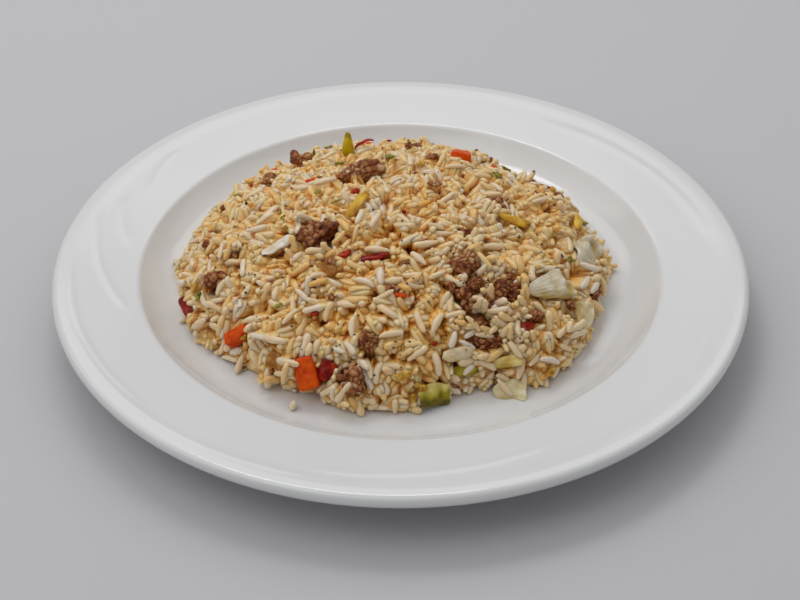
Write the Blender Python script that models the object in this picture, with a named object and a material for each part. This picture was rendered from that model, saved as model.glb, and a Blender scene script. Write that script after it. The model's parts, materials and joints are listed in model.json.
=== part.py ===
"""A round white rim plate with a heap of fried rice on it.

The plate is one turned piece of glazed ceramic. The heap is one solid out to its
uneven surface, and every diced, torn or crumbled piece that is as large as a berry
lies in a pocket of its own in that surface.

Units are metres, +Z is up, and the origin is the middle of the plate's foot on the
table. -Y is the front of the heap and +X its right.
"""

import math

import bmesh
import bpy
from mathutils import Matrix, Vector, noise

MM = 0.001
TOUCHING_GAP = 0.3 * MM  # between two solids that lie against each other
PIECE_LIFT = 0.5 * MM  # from the plate's floor to the lowest point of a piece

# The plate, from its foot to its lip.
PLATE_RADIUS = 135.0 * MM
PLATE_STEPS = 54  # facets round the plate
FLOOR_TOP = 10.5 * MM
FLOOR_BOTTOM = 4.5 * MM
COVE_START = 87.5 * MM  # radius where the flat floor starts to rise
COVE_WIDTH = 13.5 * MM
COVE_SLOPE = 1.2  # rise over run at the top of the cove
SHOULDER_ROUND = 3.0 * MM
RIM_SLOPE = 0.09
LIP_ROUND = 2.6 * MM
RIM_THICKNESS = 5.4 * MM
FOOT_RADIUS = 83.0 * MM
FOOT_WIDTH = 4.6 * MM
FOOT_ROUND = 0.9 * MM

# The heap: its foot's radius at even steps of angle, counted from +X towards +Y.
HEAP_FOOT = [
    r * MM
    for r in (
        *(82.5, 82.0, 81.0, 79.0, 77.0, 78.0, 79.0, 80.5),
        *(81.0, 81.5, 82.0, 82.0, 82.0, 83.5, 85.0, 87.0),
        *(88.0, 86.0, 85.5, 81.0, 80.5, 80.5, 77.5, 79.0),
        *(78.0, 73.5, 70.5, 77.0, 82.5, 82.0, 79.5, 80.0),
    )
]
HEAP_HEIGHT = 36.0 * MM
HEAP_POWER = 2.2  # 2 is an ellipsoid, and more is flatter on top
HEAP_STEPS = 52
HEAP_RINGS = 9
LUMPS = ((17.0 * MM, 2.0 * MM), (7.0 * MM, 0.8 * MM))  # (size across, height) of each size of lump

# Where a spoon left the heap lower: (x, y, radius, depth).
HOLLOWS = (
    (31.0 * MM, -49.0 * MM, 11.0 * MM, 3.6 * MM),
    (-10.0 * MM, -31.0 * MM, 13.0 * MM, 2.2 * MM),
    (-6.0 * MM, -64.0 * MM, 10.0 * MM, 1.8 * MM),
    (58.0 * MM, -14.0 * MM, 9.0 * MM, 1.6 * MM),
    (-38.0 * MM, 36.0 * MM, 12.0 * MM, 1.8 * MM),
    (20.0 * MM, 44.0 * MM, 12.0 * MM, 1.6 * MM),
)

# Pieces in the rice. Each row is a name, the place (x, y) in millimetres, the heading
# of its length and the pitch of that length in degrees, its length, width and
# thickness in millimetres, and the share of its thickness that is sunk in the rice.
CARROT_DICE = (
    ("carrot_left", -61.0, -46.5, 32, 0, 10.5, 6.5, 6.0, 0.60),
    ("carrot_front", -34.5, -67.0, 96, 0, 11.0, 6.6, 6.0, 0.55),
    ("carrot_back", 25.5, 50.0, -5, 0, 8.5, 6.0, 5.5, 0.45),
    ("carrot_rear", -16.0, 76.0, 25, 0, 9.5, 6.5, 6.0, 0.50),
)
PEPPER_PIECES = (
    ("pepper_front", -26.6, -68.6, 100, 0, 8.5, 6.0, 2.8, 0.50),
    ("pepper_left", -81.0, -25.0, -74, 0, 10.0, 4.6, 2.4, 0.50),
    ("pepper_middle", -10.0, -27.5, 12, 0, 10.5, 4.4, 2.2, 0.55),
    ("pepper_rear", 57.0, 42.0, -40, 0, 9.0, 5.0, 2.4, 0.50),
)
CABBAGE_PIECES = (
    ("cabbage_white", 54.0, -34.5, -18, 0, 19.0, 13.0, 2.4, 0.45),
    ("cabbage_pale", 71.5, -6.5, 84, 0, 13.5, 9.0, 2.0, 0.45),
    ("cabbage_edge", 68.0, -36.0, 112, 0, 9.5, 8.0, 2.0, 0.40),
    ("cabbage_green", 11.5, -73.0, 2, 0, 12.0, 9.5, 2.0, 0.35),
    ("cabbage_band", 23.4, -64.5, 15, 0, 9.0, 4.2, 2.0, 0.45),
    ("cabbage_strip", 36.6, -62.0, 24, 0, 13.0, 4.2, 2.0, 0.45),
    ("cabbage_stalk", 39.6, -68.8, -10, 0, 15.0, 8.0, 2.8, 0.40),
    ("cabbage_yellow", 43.0, -3.5, -14, 0, 12.0, 5.5, 2.2, 0.40),
    ("cabbage_tip", -20.5, 57.0, 82, 55, 9.5, 5.0, 1.8, 0.20),
    ("cabbage_curl", -16.5, 0.5, 64, 0, 16.0, 4.2, 2.0, 0.45),
    ("cabbage_side", 69.0, 9.5, 78, 0, 8.5, 5.5, 2.0, 0.45),
    ("cabbage_rear", -44.0, 69.0, 20, 0, 14.0, 9.0, 2.2, 0.45),
    ("cabbage_far", 27.0, 72.0, -30, 0, 12.0, 8.0, 2.2, 0.45),
)
ONION_PIECES = (
    ("onion_left", -49.5, -14.0, 17, 0, 12.5, 5.5, 2.4, 0.40),
    ("onion_gold", -27.0, -33.0, 75, 0, 9.0, 6.5, 2.4, 0.50),
    ("onion_brown", -44.5, -63.0, -30, 0, 8.5, 7.0, 2.4, 0.50),
    ("onion_front", 20.4, -62.6, 12, 0, 11.0, 6.0, 2.6, 0.40),
    ("onion_rear", -74.0, 38.0, -60, 0, 11.0, 5.5, 2.4, 0.45),
)
MINCE_CRUMBS = (
    ("mince_left", -31.0, -14.5, 74, 0, 16.0, 12.0, 8.0, 0.60),
    ("mince_top", -16.0, 27.0, 20, 0, 15.0, 7.5, 6.0, 0.60),
    ("mince_peak", -40.0, 51.0, 120, 40, 9.5, 6.5, 5.5, 0.35),
    ("mince_side", -70.0, -25.0, 50, 0, 8.5, 7.5, 6.5, 0.60),
    ("mince_foot", -17.0, -73.8, 30, 0, 9.0, 9.0, 7.0, 0.50),
    ("mince_front", -12.0, -64.0, 80, 0, 8.0, 5.5, 5.0, 0.60),
    ("mince_middle", 23.5, -33.0, 40, 0, 11.0, 9.0, 7.0, 0.60),
    ("mince_hollow", 24.0, -44.0, 120, 0, 11.0, 8.0, 7.0, 0.55),
    ("mince_right", 38.5, -40.5, 70, 0, 11.0, 8.5, 7.0, 0.55),
    ("mince_low", 31.6, -57.8, 5, 0, 9.0, 6.0, 5.5, 0.60),
    ("mince_edge", 73.5, -21.5, 80, 0, 8.5, 6.5, 5.5, 0.50),
    ("mince_far", 37.5, 6.5, 60, 0, 9.0, 7.0, 5.5, 0.60),
    ("mince_rear", 4.0, 60.0, 0, 0, 11.0, 8.0, 6.5, 0.60),
    ("mince_behind", -62.0, 53.0, 120, 0, 9.5, 7.5, 6.0, 0.60),
)
POCKET_GAP = 0.4 * MM  # between a piece and the rice round it
POCKET_RISE = 9.0 * MM  # a cutter reaches this far out of the rice, so a pocket is open

GLAZE = (0.80, 0.80, 0.79)
RICE = (0.74, 0.62, 0.45)
CARROT = (0.80, 0.20, 0.03)
PEPPER = (0.60, 0.03, 0.02)
CABBAGE = (0.66, 0.66, 0.34)
ONION = (0.80, 0.77, 0.66)
MINCE = (0.20, 0.11, 0.08)


def clear_scene():
    for obj in list(bpy.data.objects):
        bpy.data.objects.remove(obj, do_unlink=True)


def finish(name, colour, roughness):
    """A plain material of one colour."""
    material = bpy.data.materials.new(name)
    material.use_nodes = True
    shader = material.node_tree.nodes["Principled BSDF"]
    shader.inputs["Base Color"].default_value = (*colour, 1.0)
    shader.inputs["Roughness"].default_value = roughness
    shader.inputs["Metallic"].default_value = 0.0
    return material


def object_from(bm, name, material=None, collection=None):
    """A named object from a bmesh, with its faces turned outwards."""
    bmesh.ops.recalc_face_normals(bm, faces=bm.faces)
    mesh = bpy.data.meshes.new(name)
    bm.to_mesh(mesh)
    bm.free()
    if material:
        mesh.materials.append(material)
    obj = bpy.data.objects.new(name, mesh)
    (collection or bpy.context.scene.collection).objects.link(obj)
    return obj


# --- The plate


def arc(centre, radius, start, end, steps):
    """Points (r, z) on an arc, from the start angle to the end angle in degrees."""
    turns = [math.radians(start + (end - start) * i / steps) for i in range(steps + 1)]
    return [(centre[0] + radius * math.cos(t), centre[1] + radius * math.sin(t)) for t in turns]


def plate_profile():
    """The plate's section from the axis out over the top and back underneath."""
    cove = []
    for i in range(6):
        run = i / 5
        rise = 0.5 * COVE_SLOPE * COVE_WIDTH * run**2
        cove.append((COVE_START + COVE_WIDTH * run, FLOOR_TOP + rise))

    steep, gentle = math.degrees(math.atan(COVE_SLOPE)), math.degrees(math.atan(RIM_SLOPE))
    top_r, top_z = cove[-1]
    turn = math.radians(90 + steep)
    round_centre = (top_r - SHOULDER_ROUND * math.cos(turn), top_z - SHOULDER_ROUND * math.sin(turn))
    shoulder = arc(round_centre, SHOULDER_ROUND, 90 + steep, 90 + gentle, 3)[1:]

    lip_r = PLATE_RADIUS - LIP_ROUND
    lip_z = shoulder[-1][1] + RIM_SLOPE * (lip_r - shoulder[-1][0]) - LIP_ROUND
    lip = arc((lip_r, lip_z), LIP_ROUND, 90 + gentle, -75, 7)

    under_rim = shoulder[-1][1] - RIM_THICKNESS
    foot_out, foot_in = FOOT_RADIUS + FOOT_WIDTH / 2, FOOT_RADIUS - FOOT_WIDTH / 2
    underneath = [
        (lip_r - 2 * LIP_ROUND, lip_z - LIP_ROUND),
        (top_r + 4.5 * MM, under_rim),
        (top_r - 3.0 * MM, under_rim - 3.8 * MM),
        (foot_out + 4.0 * MM, FLOOR_BOTTOM),
        (foot_out + FOOT_ROUND, FOOT_ROUND),
        (foot_out, 0.0),
        (foot_in, 0.0),
        (foot_in - FOOT_ROUND, FOOT_ROUND),
        (foot_in - 2.5 * MM, FLOOR_BOTTOM),
        (0.0, FLOOR_BOTTOM),
    ]
    return [(0.0, FLOOR_TOP), *cove, *shoulder, *lip, *underneath]


def make_plate():
    bm = bmesh.new()
    points = [bm.verts.new((r, 0.0, z)) for r, z in plate_profile()]
    edges = [bm.edges.new(pair) for pair in zip(points, points[1:])]
    bmesh.ops.spin(
        bm,
        geom=[*points, *edges],
        axis=(0, 0, 1),
        cent=(0, 0, 0),
        steps=PLATE_STEPS,
        angle=math.tau,
        use_merge=True,
    )
    bmesh.ops.remove_doubles(bm, verts=bm.verts, dist=0.01 * MM)
    plate = object_from(bm, "plate", finish("white glaze", GLAZE, 0.18))
    plate.data.shade_smooth()
    plate.data.set_sharp_from_angle(angle=math.radians(40))
    return plate


# --- The heap of rice


def foot_radius(angle):
    """The heap's radius at its foot, smooth between the named radii."""
    place = (angle / math.tau) % 1.0 * len(HEAP_FOOT)
    i = int(place)
    share = place - i
    before, this, after, beyond = (HEAP_FOOT[(i + k) % len(HEAP_FOOT)] for k in (-1, 0, 1, 2))
    bend = 2 * before - 5 * this + 4 * after - beyond
    twist = 3 * (this - after) + beyond - before
    return this + 0.5 * share * (after - before + share * (bend + share * twist))


def heap_top(x, y):
    """Height of the rice's surface over (x, y): a dome, its lumps and its hollows."""
    out = min(1.0, math.hypot(x, y) / foot_radius(math.atan2(y, x)))
    dome = math.sqrt(max(0.0, 1.0 - out**HEAP_POWER))
    height = HEAP_HEIGHT * dome
    for size, rise in LUMPS:
        height += rise * noise.noise(Vector((x / size, y / size, size / MM))) * min(1.0, 1.6 * dome)
    for hx, hy, radius, depth in HOLLOWS:
        far = math.hypot(x - hx, y - hy) / radius
        height -= depth * math.exp(-far * far) * dome
    return FLOOR_TOP + TOUCHING_GAP + max(0.0, height)


def make_heap():
    """A dome of rings with a flat underside on the plate's floor."""
    bm = bmesh.new()
    rings = []
    for ring in range(1, HEAP_RINGS + 1):
        share = math.sin(0.5 * math.pi * ring / HEAP_RINGS)
        loop = []
        for step in range(HEAP_STEPS):
            angle = math.tau * step / HEAP_STEPS
            r = share * foot_radius(angle)
            x, y = r * math.cos(angle), r * math.sin(angle)
            loop.append(bm.verts.new((x, y, heap_top(x, y))))
        rings.append(loop)
    top = bm.verts.new((0, 0, heap_top(0, 0)))
    base = bm.verts.new((0, 0, FLOOR_TOP + TOUCHING_GAP))
    for i in range(HEAP_STEPS):
        j = (i + 1) % HEAP_STEPS
        bm.faces.new((top, rings[0][i], rings[0][j]))
        bm.faces.new((base, rings[-1][j], rings[-1][i]))
        for inner, outer in zip(rings, rings[1:]):
            bm.faces.new((inner[i], outer[i], outer[j], inner[j]))
    return object_from(bm, "rice_heap", finish("fried rice", RICE, 0.55))


# --- The pieces in the rice, each modelled round its own centre


def dice(length, width, thickness):
    """A knife-cut cube, a little narrower at one end, with its edges softened."""
    bm = bmesh.new()
    bmesh.ops.create_cube(bm, size=1.0)
    for vert in bm.verts:
        taper = 1.0 - 0.22 * (vert.co.x + 0.5)
        vert.co = Vector((vert.co.x * length, vert.co.y * width * taper, vert.co.z * thickness * taper))
    bmesh.ops.bevel(bm, geom=bm.edges, offset=0.14 * thickness, segments=1, affect="EDGES")
    return bm


def slab(length, width, thickness, curl, taper):
    """A torn leaf or a strip of skin: a slab that curls up along its two long sides."""
    along, across = 4, 2
    bm = bmesh.new()
    sheets = []
    for side in (1, -1):
        sheet = []
        for i in range(along + 1):
            u = 2 * i / along - 1
            half = 0.5 * width * (1 - 0.35 * u * u) * (1 - taper * 0.5 * (u + 1))
            row = []
            for j in range(across + 1):
                v = 2 * j / across - 1
                bow = curl * width * (v * v - 0.4) + 0.05 * length * math.sin(2.6 * u)
                row.append(bm.verts.new((0.5 * length * u, half * v, bow + side * 0.5 * thickness)))
            sheet.append(row)
        sheets.append(sheet)
    upper, lower = sheets
    for i in range(along):
        for j in range(across):
            for sheet in sheets:
                bm.faces.new((sheet[i][j], sheet[i + 1][j], sheet[i + 1][j + 1], sheet[i][j + 1]))
    rim = [(i, 0) for i in range(along)] + [(along, j) for j in range(across)]
    rim += [(i, across) for i in range(along, 0, -1)] + [(0, j) for j in range(across, 0, -1)]
    for (a, b), (c, d) in zip(rim, rim[1:] + rim[:1]):
        bm.faces.new((upper[a][b], upper[c][d], lower[c][d], lower[a][b]))
    return bm


def crumb(length, width, thickness, seed):
    """A crumb of minced meat: a ball pushed in and out into lumps."""
    bm = bmesh.new()
    bmesh.ops.create_icosphere(bm, subdivisions=2, radius=0.5)
    for vert in bm.verts:
        push = 1.0 + 0.42 * noise.noise(vert.co * 3.2 + Vector((seed * 7.3, 0, 0)))
        vert.co = Vector((vert.co.x * length, vert.co.y * width, vert.co.z * thickness)) * push
    return bm


def surface_normal(x, y):
    """The way out of the rice over (x, y)."""
    step = 4.0 * MM
    slope_x = (heap_top(x + step, y) - heap_top(x - step, y)) / (2 * step)
    slope_y = (heap_top(x, y + step) - heap_top(x, y - step)) / (2 * step)
    return Vector((-slope_x, -slope_y, 1.0)).normalized()


def seat(piece, x, y, heading, pitch, thickness, sunk):
    """Sink a piece a share of its thickness into the rice, its length along the
    heading and its thickness along the way out, and lift it clear of the plate."""
    out = surface_normal(x, y)
    ahead = Vector((math.cos(math.radians(heading)), math.sin(math.radians(heading)), 0.0))
    ahead = (ahead - ahead.dot(out) * out).normalized()
    turn = Matrix((ahead, out.cross(ahead), out)).transposed().to_4x4()
    middle = Vector((x, y, heap_top(x, y))) + out * (0.5 - sunk) * thickness
    place = Matrix.Translation(middle) @ turn @ Matrix.Rotation(math.radians(-pitch), 4, "Y")
    lowest = min((place @ vert.co).z for vert in piece.data.vertices)
    lift = max(0.0, FLOOR_TOP + PIECE_LIFT - lowest)
    piece.data.transform(Matrix.Translation((0, 0, lift)) @ place)
    return out


def pocket_cutter(piece, out, pockets):
    """A hull round the piece, a little larger all round and drawn out of the rice."""
    bm = bmesh.new()
    bm.from_mesh(piece.data)
    bm.normal_update()
    grown = [vert.co + vert.normal * POCKET_GAP * vert.calc_shell_factor() for vert in bm.verts]
    bm.clear()
    for point in grown:
        bm.verts.new(point)
        bm.verts.new(point + out * POCKET_RISE)
    hull = bmesh.ops.convex_hull(bm, input=bm.verts)
    inside = [item for item in hull["geom_interior"] if isinstance(item, bmesh.types.BMVert)]
    bmesh.ops.delete(bm, geom=inside, context="VERTS")
    cutter = object_from(bm, piece.name + "_pocket", collection=pockets)
    cutter.hide_render = True
    cutter.display_type = "WIRE"


def make_pieces(rows, shape, material, pockets):
    """One object for each row, seated on the rice, and its pocket's cutter."""
    for index, (name, x, y, heading, pitch, length, width, thickness, sunk) in enumerate(rows):
        bm = shape(length * MM, width * MM, thickness * MM, index)
        piece = object_from(bm, name, material)
        out = seat(piece, x * MM, y * MM, heading, pitch, thickness * MM, sunk)
        pocket_cutter(piece, out, pockets)


def make_all():
    clear_scene()
    make_plate()
    heap = make_heap()
    pockets = bpy.data.collections.new("pockets")
    bpy.context.scene.collection.children.link(pockets)

    carrot = finish("cooked carrot", CARROT, 0.35)
    pepper = finish("red pepper skin", PEPPER, 0.25)
    cabbage = finish("fried cabbage", CABBAGE, 0.35)
    onion = finish("soft onion", ONION, 0.25)
    mince = finish("browned mince", MINCE, 0.6)
    make_pieces(CARROT_DICE, lambda l, w, t, i: dice(l, w, t), carrot, pockets)
    make_pieces(PEPPER_PIECES, lambda l, w, t, i: slab(l, w, t, 0.16, 0.25), pepper, pockets)
    make_pieces(CABBAGE_PIECES, lambda l, w, t, i: slab(l, w, t, 0.10, 0.15 + 0.1 * (i % 3)), cabbage, pockets)
    make_pieces(ONION_PIECES, lambda l, w, t, i: slab(l, w, t, -0.14, 0.3), onion, pockets)
    make_pieces(MINCE_CRUMBS, crumb, mince, pockets)

    cut = heap.modifiers.new("pockets", "BOOLEAN")
    cut.operation = "DIFFERENCE"
    cut.operand_type = "COLLECTION"
    cut.collection = pockets
    cut.solver = "EXACT"


make_all()
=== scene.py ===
"""The look of a plate of fried rice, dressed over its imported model.

Shapes are worked out in millimetres and become metres as each mesh is made. +Z is up,
-Y is the front of the heap and +X its right.
"""

import json
import math

import bpy
import numpy as np
from mathutils.bvhtree import BVHTree
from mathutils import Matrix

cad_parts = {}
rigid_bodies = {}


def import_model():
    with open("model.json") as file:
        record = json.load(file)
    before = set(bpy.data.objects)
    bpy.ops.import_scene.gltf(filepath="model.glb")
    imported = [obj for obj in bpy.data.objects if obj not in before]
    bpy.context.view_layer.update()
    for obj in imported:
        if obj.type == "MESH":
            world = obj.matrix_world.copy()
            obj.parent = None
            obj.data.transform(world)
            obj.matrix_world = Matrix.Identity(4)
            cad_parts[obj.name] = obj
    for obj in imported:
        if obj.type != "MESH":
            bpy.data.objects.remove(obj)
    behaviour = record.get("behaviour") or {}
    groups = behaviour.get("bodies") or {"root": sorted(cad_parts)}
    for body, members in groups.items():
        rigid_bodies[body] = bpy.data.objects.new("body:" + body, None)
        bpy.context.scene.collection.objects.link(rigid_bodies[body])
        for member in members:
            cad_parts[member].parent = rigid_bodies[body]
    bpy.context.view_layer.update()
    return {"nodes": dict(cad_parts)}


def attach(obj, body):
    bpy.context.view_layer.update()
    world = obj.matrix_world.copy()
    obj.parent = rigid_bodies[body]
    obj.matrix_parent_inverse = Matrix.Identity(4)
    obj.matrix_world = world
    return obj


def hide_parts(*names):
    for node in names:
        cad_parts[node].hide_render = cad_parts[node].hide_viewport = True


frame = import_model()

# --- Table, light and camera
# A pale table under a ring of wide soft lights and one smaller window light overhead. The
# camera stands where a diner's eyes would be, in front of the plate.

LIGHTS = (  # name, place in metres, size, watts, colour
    ("left", (-0.86, 0.0, 1.10), (1.6, 1.4), 5.6, (1.0, 0.998, 0.995)),
    ("right", (0.83, 0.33, 1.10), (1.1, 1.1), 1.5, (1.0, 0.998, 0.995)),
    ("front", (-0.24, -0.46, 1.30), (1.0, 1.0), 1.2, (1.0, 0.998, 0.995)),
    ("back", (0.02, 0.92, 1.02), (1.3, 0.45), 2.1, (1.0, 0.998, 0.995)),
    ("window", (-0.12, 0.42, 0.92), (0.50, 0.22), 1.7, (1.0, 0.998, 0.995)),
)
SKY = ((0.98, 0.985, 1.0), 0.33)
TABLE_GREY = 0.57


def set_camera():
    camera = bpy.data.objects.new("camera", bpy.data.cameras.new("camera"))
    bpy.context.scene.collection.objects.link(camera)
    camera.data.sensor_width = 36.0
    camera.data.lens = 80.4
    camera.location = (-0.0002, -0.56155, 0.4376)
    camera.rotation_euler = (math.atan2(0.78977, 0.61340), 0.0, 0.0)
    bpy.context.scene.camera = camera


def area_light(name, place, size, watts, colour=(1.0, 1.0, 1.0)):
    """A rectangular lamp that faces the plate."""
    light = bpy.data.lights.new(name, "AREA")
    light.shape = "RECTANGLE"
    light.size, light.size_y = size
    light.energy = watts
    light.color = colour
    lamp = bpy.data.objects.new(name, light)
    bpy.context.scene.collection.objects.link(lamp)
    lamp.location = place
    x, y, z = place
    lamp.rotation_euler = (math.atan2(math.hypot(x, y), z), 0.0, math.atan2(y, x) + math.pi / 2)
    return lamp


def light_the_stage():
    for row in LIGHTS:
        area_light(*row)
    world = bpy.data.worlds.new("studio")
    world.use_nodes = True
    sky = world.node_tree.nodes["Background"]
    sky.inputs["Color"].default_value = (*SKY[0], 1.0)
    sky.inputs["Strength"].default_value = SKY[1]
    bpy.context.scene.world = world
    bpy.context.scene.view_settings.view_transform = "Standard"


def make_table():
    mesh = bpy.data.meshes.new("table")
    mesh.from_pydata([(-3, -3, 0), (3, -3, 0), (3, 3, 0), (-3, 3, 0)], [], [(0, 1, 2, 3)])
    table = bpy.data.objects.new("table", mesh)
    bpy.context.scene.collection.objects.link(table)
    material = bpy.data.materials.new("pale table")
    material.use_nodes = True
    shader = material.node_tree.nodes["Principled BSDF"]
    shader.inputs["Base Color"].default_value = (TABLE_GREY, TABLE_GREY, TABLE_GREY * 1.02, 1.0)
    shader.inputs["Roughness"].default_value = 0.75
    mesh.materials.append(material)


set_camera()
light_the_stage()
make_table()

# --- The plate
# White glazed hotelware, pressed and fired: a wide rim, a round shoulder and a cove down
# to the flat well, with a faint brushed swirl in the rim and a ring of a foot below.

PLATE_TURNS = 288


def ring_faces(rows, columns):
    """Faces of a closed skin of rows of points round an axis, with a pole before the first
    row and one after the last, in fours. A triangle at a pole has its last corner twice."""
    i = np.arange(rows - 1)[:, None] * columns
    j = np.arange(columns)
    k = (j + 1) % columns
    sides = np.stack([i + j, i + columns + j, i + columns + k, i + k], axis=-1).reshape(-1, 4) + 1
    last = rows * columns + 1
    near = np.stack([0 * j, 1 + j, 1 + k, 1 + k], axis=-1)
    far = np.stack([0 * j + last, last - columns + k, last - columns + j, last - columns + j], axis=-1)
    return np.concatenate([near, sides, far])


def add_piece(name, points, faces, material, fields=None):
    """An object from points in millimetres and faces in fours, with its named fields of one
    value a point. It rides on the plate's body and takes its finish from the slot."""
    mesh = bpy.data.meshes.new(name)
    counts = np.where(faces[:, 2] == faces[:, 3], 3, 4)
    corners = faces[np.arange(4)[None, :] < counts[:, None]]
    mesh.vertices.add(len(points))
    mesh.vertices.foreach_set("co", (points / 1000).astype(np.float32).ravel())
    mesh.loops.add(len(corners))
    mesh.loops.foreach_set("vertex_index", corners.astype(np.int32))
    mesh.polygons.add(len(faces))
    mesh.polygons.foreach_set("loop_start", (np.cumsum(counts) - counts).astype(np.int32))
    for field, values in (fields or {}).items():
        mesh.attributes.new(field, "FLOAT", "POINT").data.foreach_set("value", values.astype(np.float32).ravel())
    mesh.update(calc_edges=True)
    mesh.shade_smooth()
    mesh.materials.append(material)
    piece = bpy.data.objects.new(name, mesh)
    bpy.context.scene.collection.objects.link(piece)
    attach(piece, "root")
    return piece


class Nodes:
    """A tree of shader nodes and short ways to add to it."""

    def node(self, kind, **inputs):
        node = self.tree.nodes.new(kind)
        for key, value in inputs.items():
            self.feed(node.inputs[key], value)
        return node

    def feed(self, socket, value):
        if isinstance(value, bpy.types.NodeSocket):
            self.tree.links.new(value, socket)
        else:
            socket.default_value = value

    def noise(self, scale, detail=2.0):
        """Noise with about this many lumps to the metre, in the object's own place."""
        where = self.node("ShaderNodeTexCoord").outputs["Object"]
        return self.node("ShaderNodeTexNoise", Vector=where, Scale=scale, Detail=detail).outputs["Fac"]

    def field(self, name):
        node = self.tree.nodes.new("ShaderNodeAttribute")
        node.attribute_name = name
        return node.outputs["Fac"]

    def sum(self, a, b, what="ADD"):
        node = self.tree.nodes.new("ShaderNodeMath")
        node.operation = what
        self.feed(node.inputs[0], a)
        self.feed(node.inputs[1], b)
        return node.outputs[0]

    def times(self, a, b):
        return self.sum(a, b, "MULTIPLY")

    def effect(self, group, **values):
        """An effect's group placed here with its own values: its outputs."""
        node = self.tree.nodes.new("ShaderNodeGroup")
        node.node_tree = group
        for key, value in values.items():
            self.feed(node.inputs[key.replace("_", " ")], value)
        return node.outputs


class Effect(Nodes):
    """A node group being made, with named number inputs, their values, and outputs."""

    def __init__(self, name, inputs, outputs):
        self.tree = bpy.data.node_groups.new(name, "ShaderNodeTree")
        for socket, value in inputs.items():
            made = self.tree.interface.new_socket(socket, in_out="INPUT", socket_type="NodeSocketFloat")
            made.default_value = value
        for socket in outputs:
            self.tree.interface.new_socket(socket, in_out="OUTPUT", socket_type="NodeSocketFloat")
        self.given = self.tree.nodes.new("NodeGroupInput").outputs
        self.result = self.tree.nodes.new("NodeGroupOutput").inputs


class Finish(Nodes):
    """A material being made, round its Principled shader."""

    def __init__(self, name, **values):
        self.material = bpy.data.materials.new(name)
        self.material.use_nodes = True
        self.tree = self.material.node_tree
        self.shader = self.tree.nodes["Principled BSDF"]
        self.shader.inputs["Subsurface Radius"].default_value = (1.0, 0.88, 0.74)
        for key, value in values.items():
            self.shader.inputs[key.replace("_", " ")].default_value = value

    def colour(self, value, *stops):
        """Colours (place, (r, g, b)) along a value from 0 to 1."""
        node = self.node("ShaderNodeValToRGB", Fac=value)
        while len(node.color_ramp.elements) < len(stops):
            node.color_ramp.elements.new(0.5)
        for element, (where, colour) in zip(node.color_ramp.elements, stops):
            element.position = where
            element.color = (*colour, 1.0)
        self.feed(self.shader.inputs["Base Color"], node.outputs[0])

    def relief(self, height, depth):
        """Bumps: the height's range of 0 to 1 stands for a depth in millimetres."""
        node = self.node("ShaderNodeBump", Height=height, Distance=depth / 1000)
        self.feed(self.shader.inputs["Normal"], node.outputs[0])
        return self.material


def make_mottle():
    """The effect of uneven stuff: Spots, which are noise of a grain with a share of finer
    noise on it, and a Skin to be raised. Grains are in lumps to the metre."""
    effect = Effect("mottle", {"Grain": 300.0, "Fine": 0.0, "Skin grain": 800.0}, ("Spots", "Skin"))
    fine = effect.noise(effect.times(effect.given["Grain"], 3.7), 2.0)
    spots = effect.sum(effect.noise(effect.given["Grain"], 3.0), effect.times(fine, effect.given["Fine"]))
    effect.feed(effect.result["Spots"], spots)
    effect.feed(effect.result["Skin"], effect.noise(effect.given["Skin grain"], 2.0))
    return effect.tree


mottle = make_mottle()


def arc(centre, radius, start, end, steps):
    """Points (r, z) on an arc, from the start angle to the end angle in degrees."""
    turns = np.radians(np.linspace(start, end, steps))
    return np.stack([centre[0] + radius * np.cos(turns), centre[1] + radius * np.sin(turns)], axis=-1)


def plate_section():
    """(r, z) from the middle of the well out to the lip and back underneath to the middle."""
    run = np.linspace(0, 1, 16)
    well = np.stack([np.array([12, 30, 50, 68, 80]), np.full(5, 10.5)], axis=-1)
    cove = np.stack([87.5 + 13.5 * run, 10.5 + 0.5 * 1.2 * 13.5 * run**2], axis=-1)
    steep, gentle = math.degrees(math.atan(1.2)), math.degrees(math.atan(0.09))
    turn = math.radians(90 + steep)
    shoulder = arc((101 - 3 * math.cos(turn), 18.6 - 3 * math.sin(turn)), 3, 90 + steep, 90 + gentle, 9)[1:]
    rim_r = np.linspace(shoulder[-1][0], 132.17, 42)[1:-1]
    rim = np.stack([rim_r, shoulder[-1][1] + 0.09 * (rim_r - shoulder[-1][0])], axis=-1)
    lip = arc((132.4, 19.7), 2.6, 90 + gentle, -75, 16)
    under = [(127.2, 17.1), (116, 15.7), (105.5, 14.3), (102, 12.7), (98, 10.5), (93.5, 7.2), (89.3, 4.6), (87.4, 2.6)]
    foot = [(86.3, 1.0), (86, 0.35), (85.2, 0), (80.8, 0), (80, 0.35), (79.6, 1), (79, 3), (78, 4.2), (76, 4.5)]
    return np.concatenate([well, cove, shoulder, rim, lip, under, foot, [(50, 4.5), (20, 4.5)]])


def swirl(r, turn):
    """The rim's relief in millimetres: a shallow step up to the verge, and a few long brush
    strokes that wind inwards across the rim, each a low ridge that fades at its ends."""
    height = 0.16 / (1 + np.exp(-(r - 126) / 0.8)) + 0 * turn
    strokes = (  # from radius and angle, to radius and angle, height, width
        (123, 140, 112, 158, 0.16, 1.3),
        (121, 158, 108, 174, 0.12, 1.5),
        (126, 162, 106, 198, 0.18, 1.3),
        (128, 178, 124.5, 226, 0.16, 1.1),
        (129, 196, 126, 262, 0.12, 1.0),
        (123, 250, 117, 300, 0.08, 1.6),
        (124, 4, 119, 60, 0.14, 2.2),
        (127, 300, 120, 345, 0.08, 1.6),
    )
    for r0, t0, r1, t1, rise, width in strokes:
        share = (np.degrees(turn) % 360 - t0) / (t1 - t0)
        middle = r0 + (r1 - r0) * np.clip(share, 0, 1) ** 1.3
        ends = np.clip(np.clip(share * 5, 0, 1) * np.clip((1 - share) * 5, 0, 1), 0, 1)
        height += rise * ends * ends * (3 - 2 * ends) * np.exp(-(((r - middle) / width) ** 2))
    return height


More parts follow.
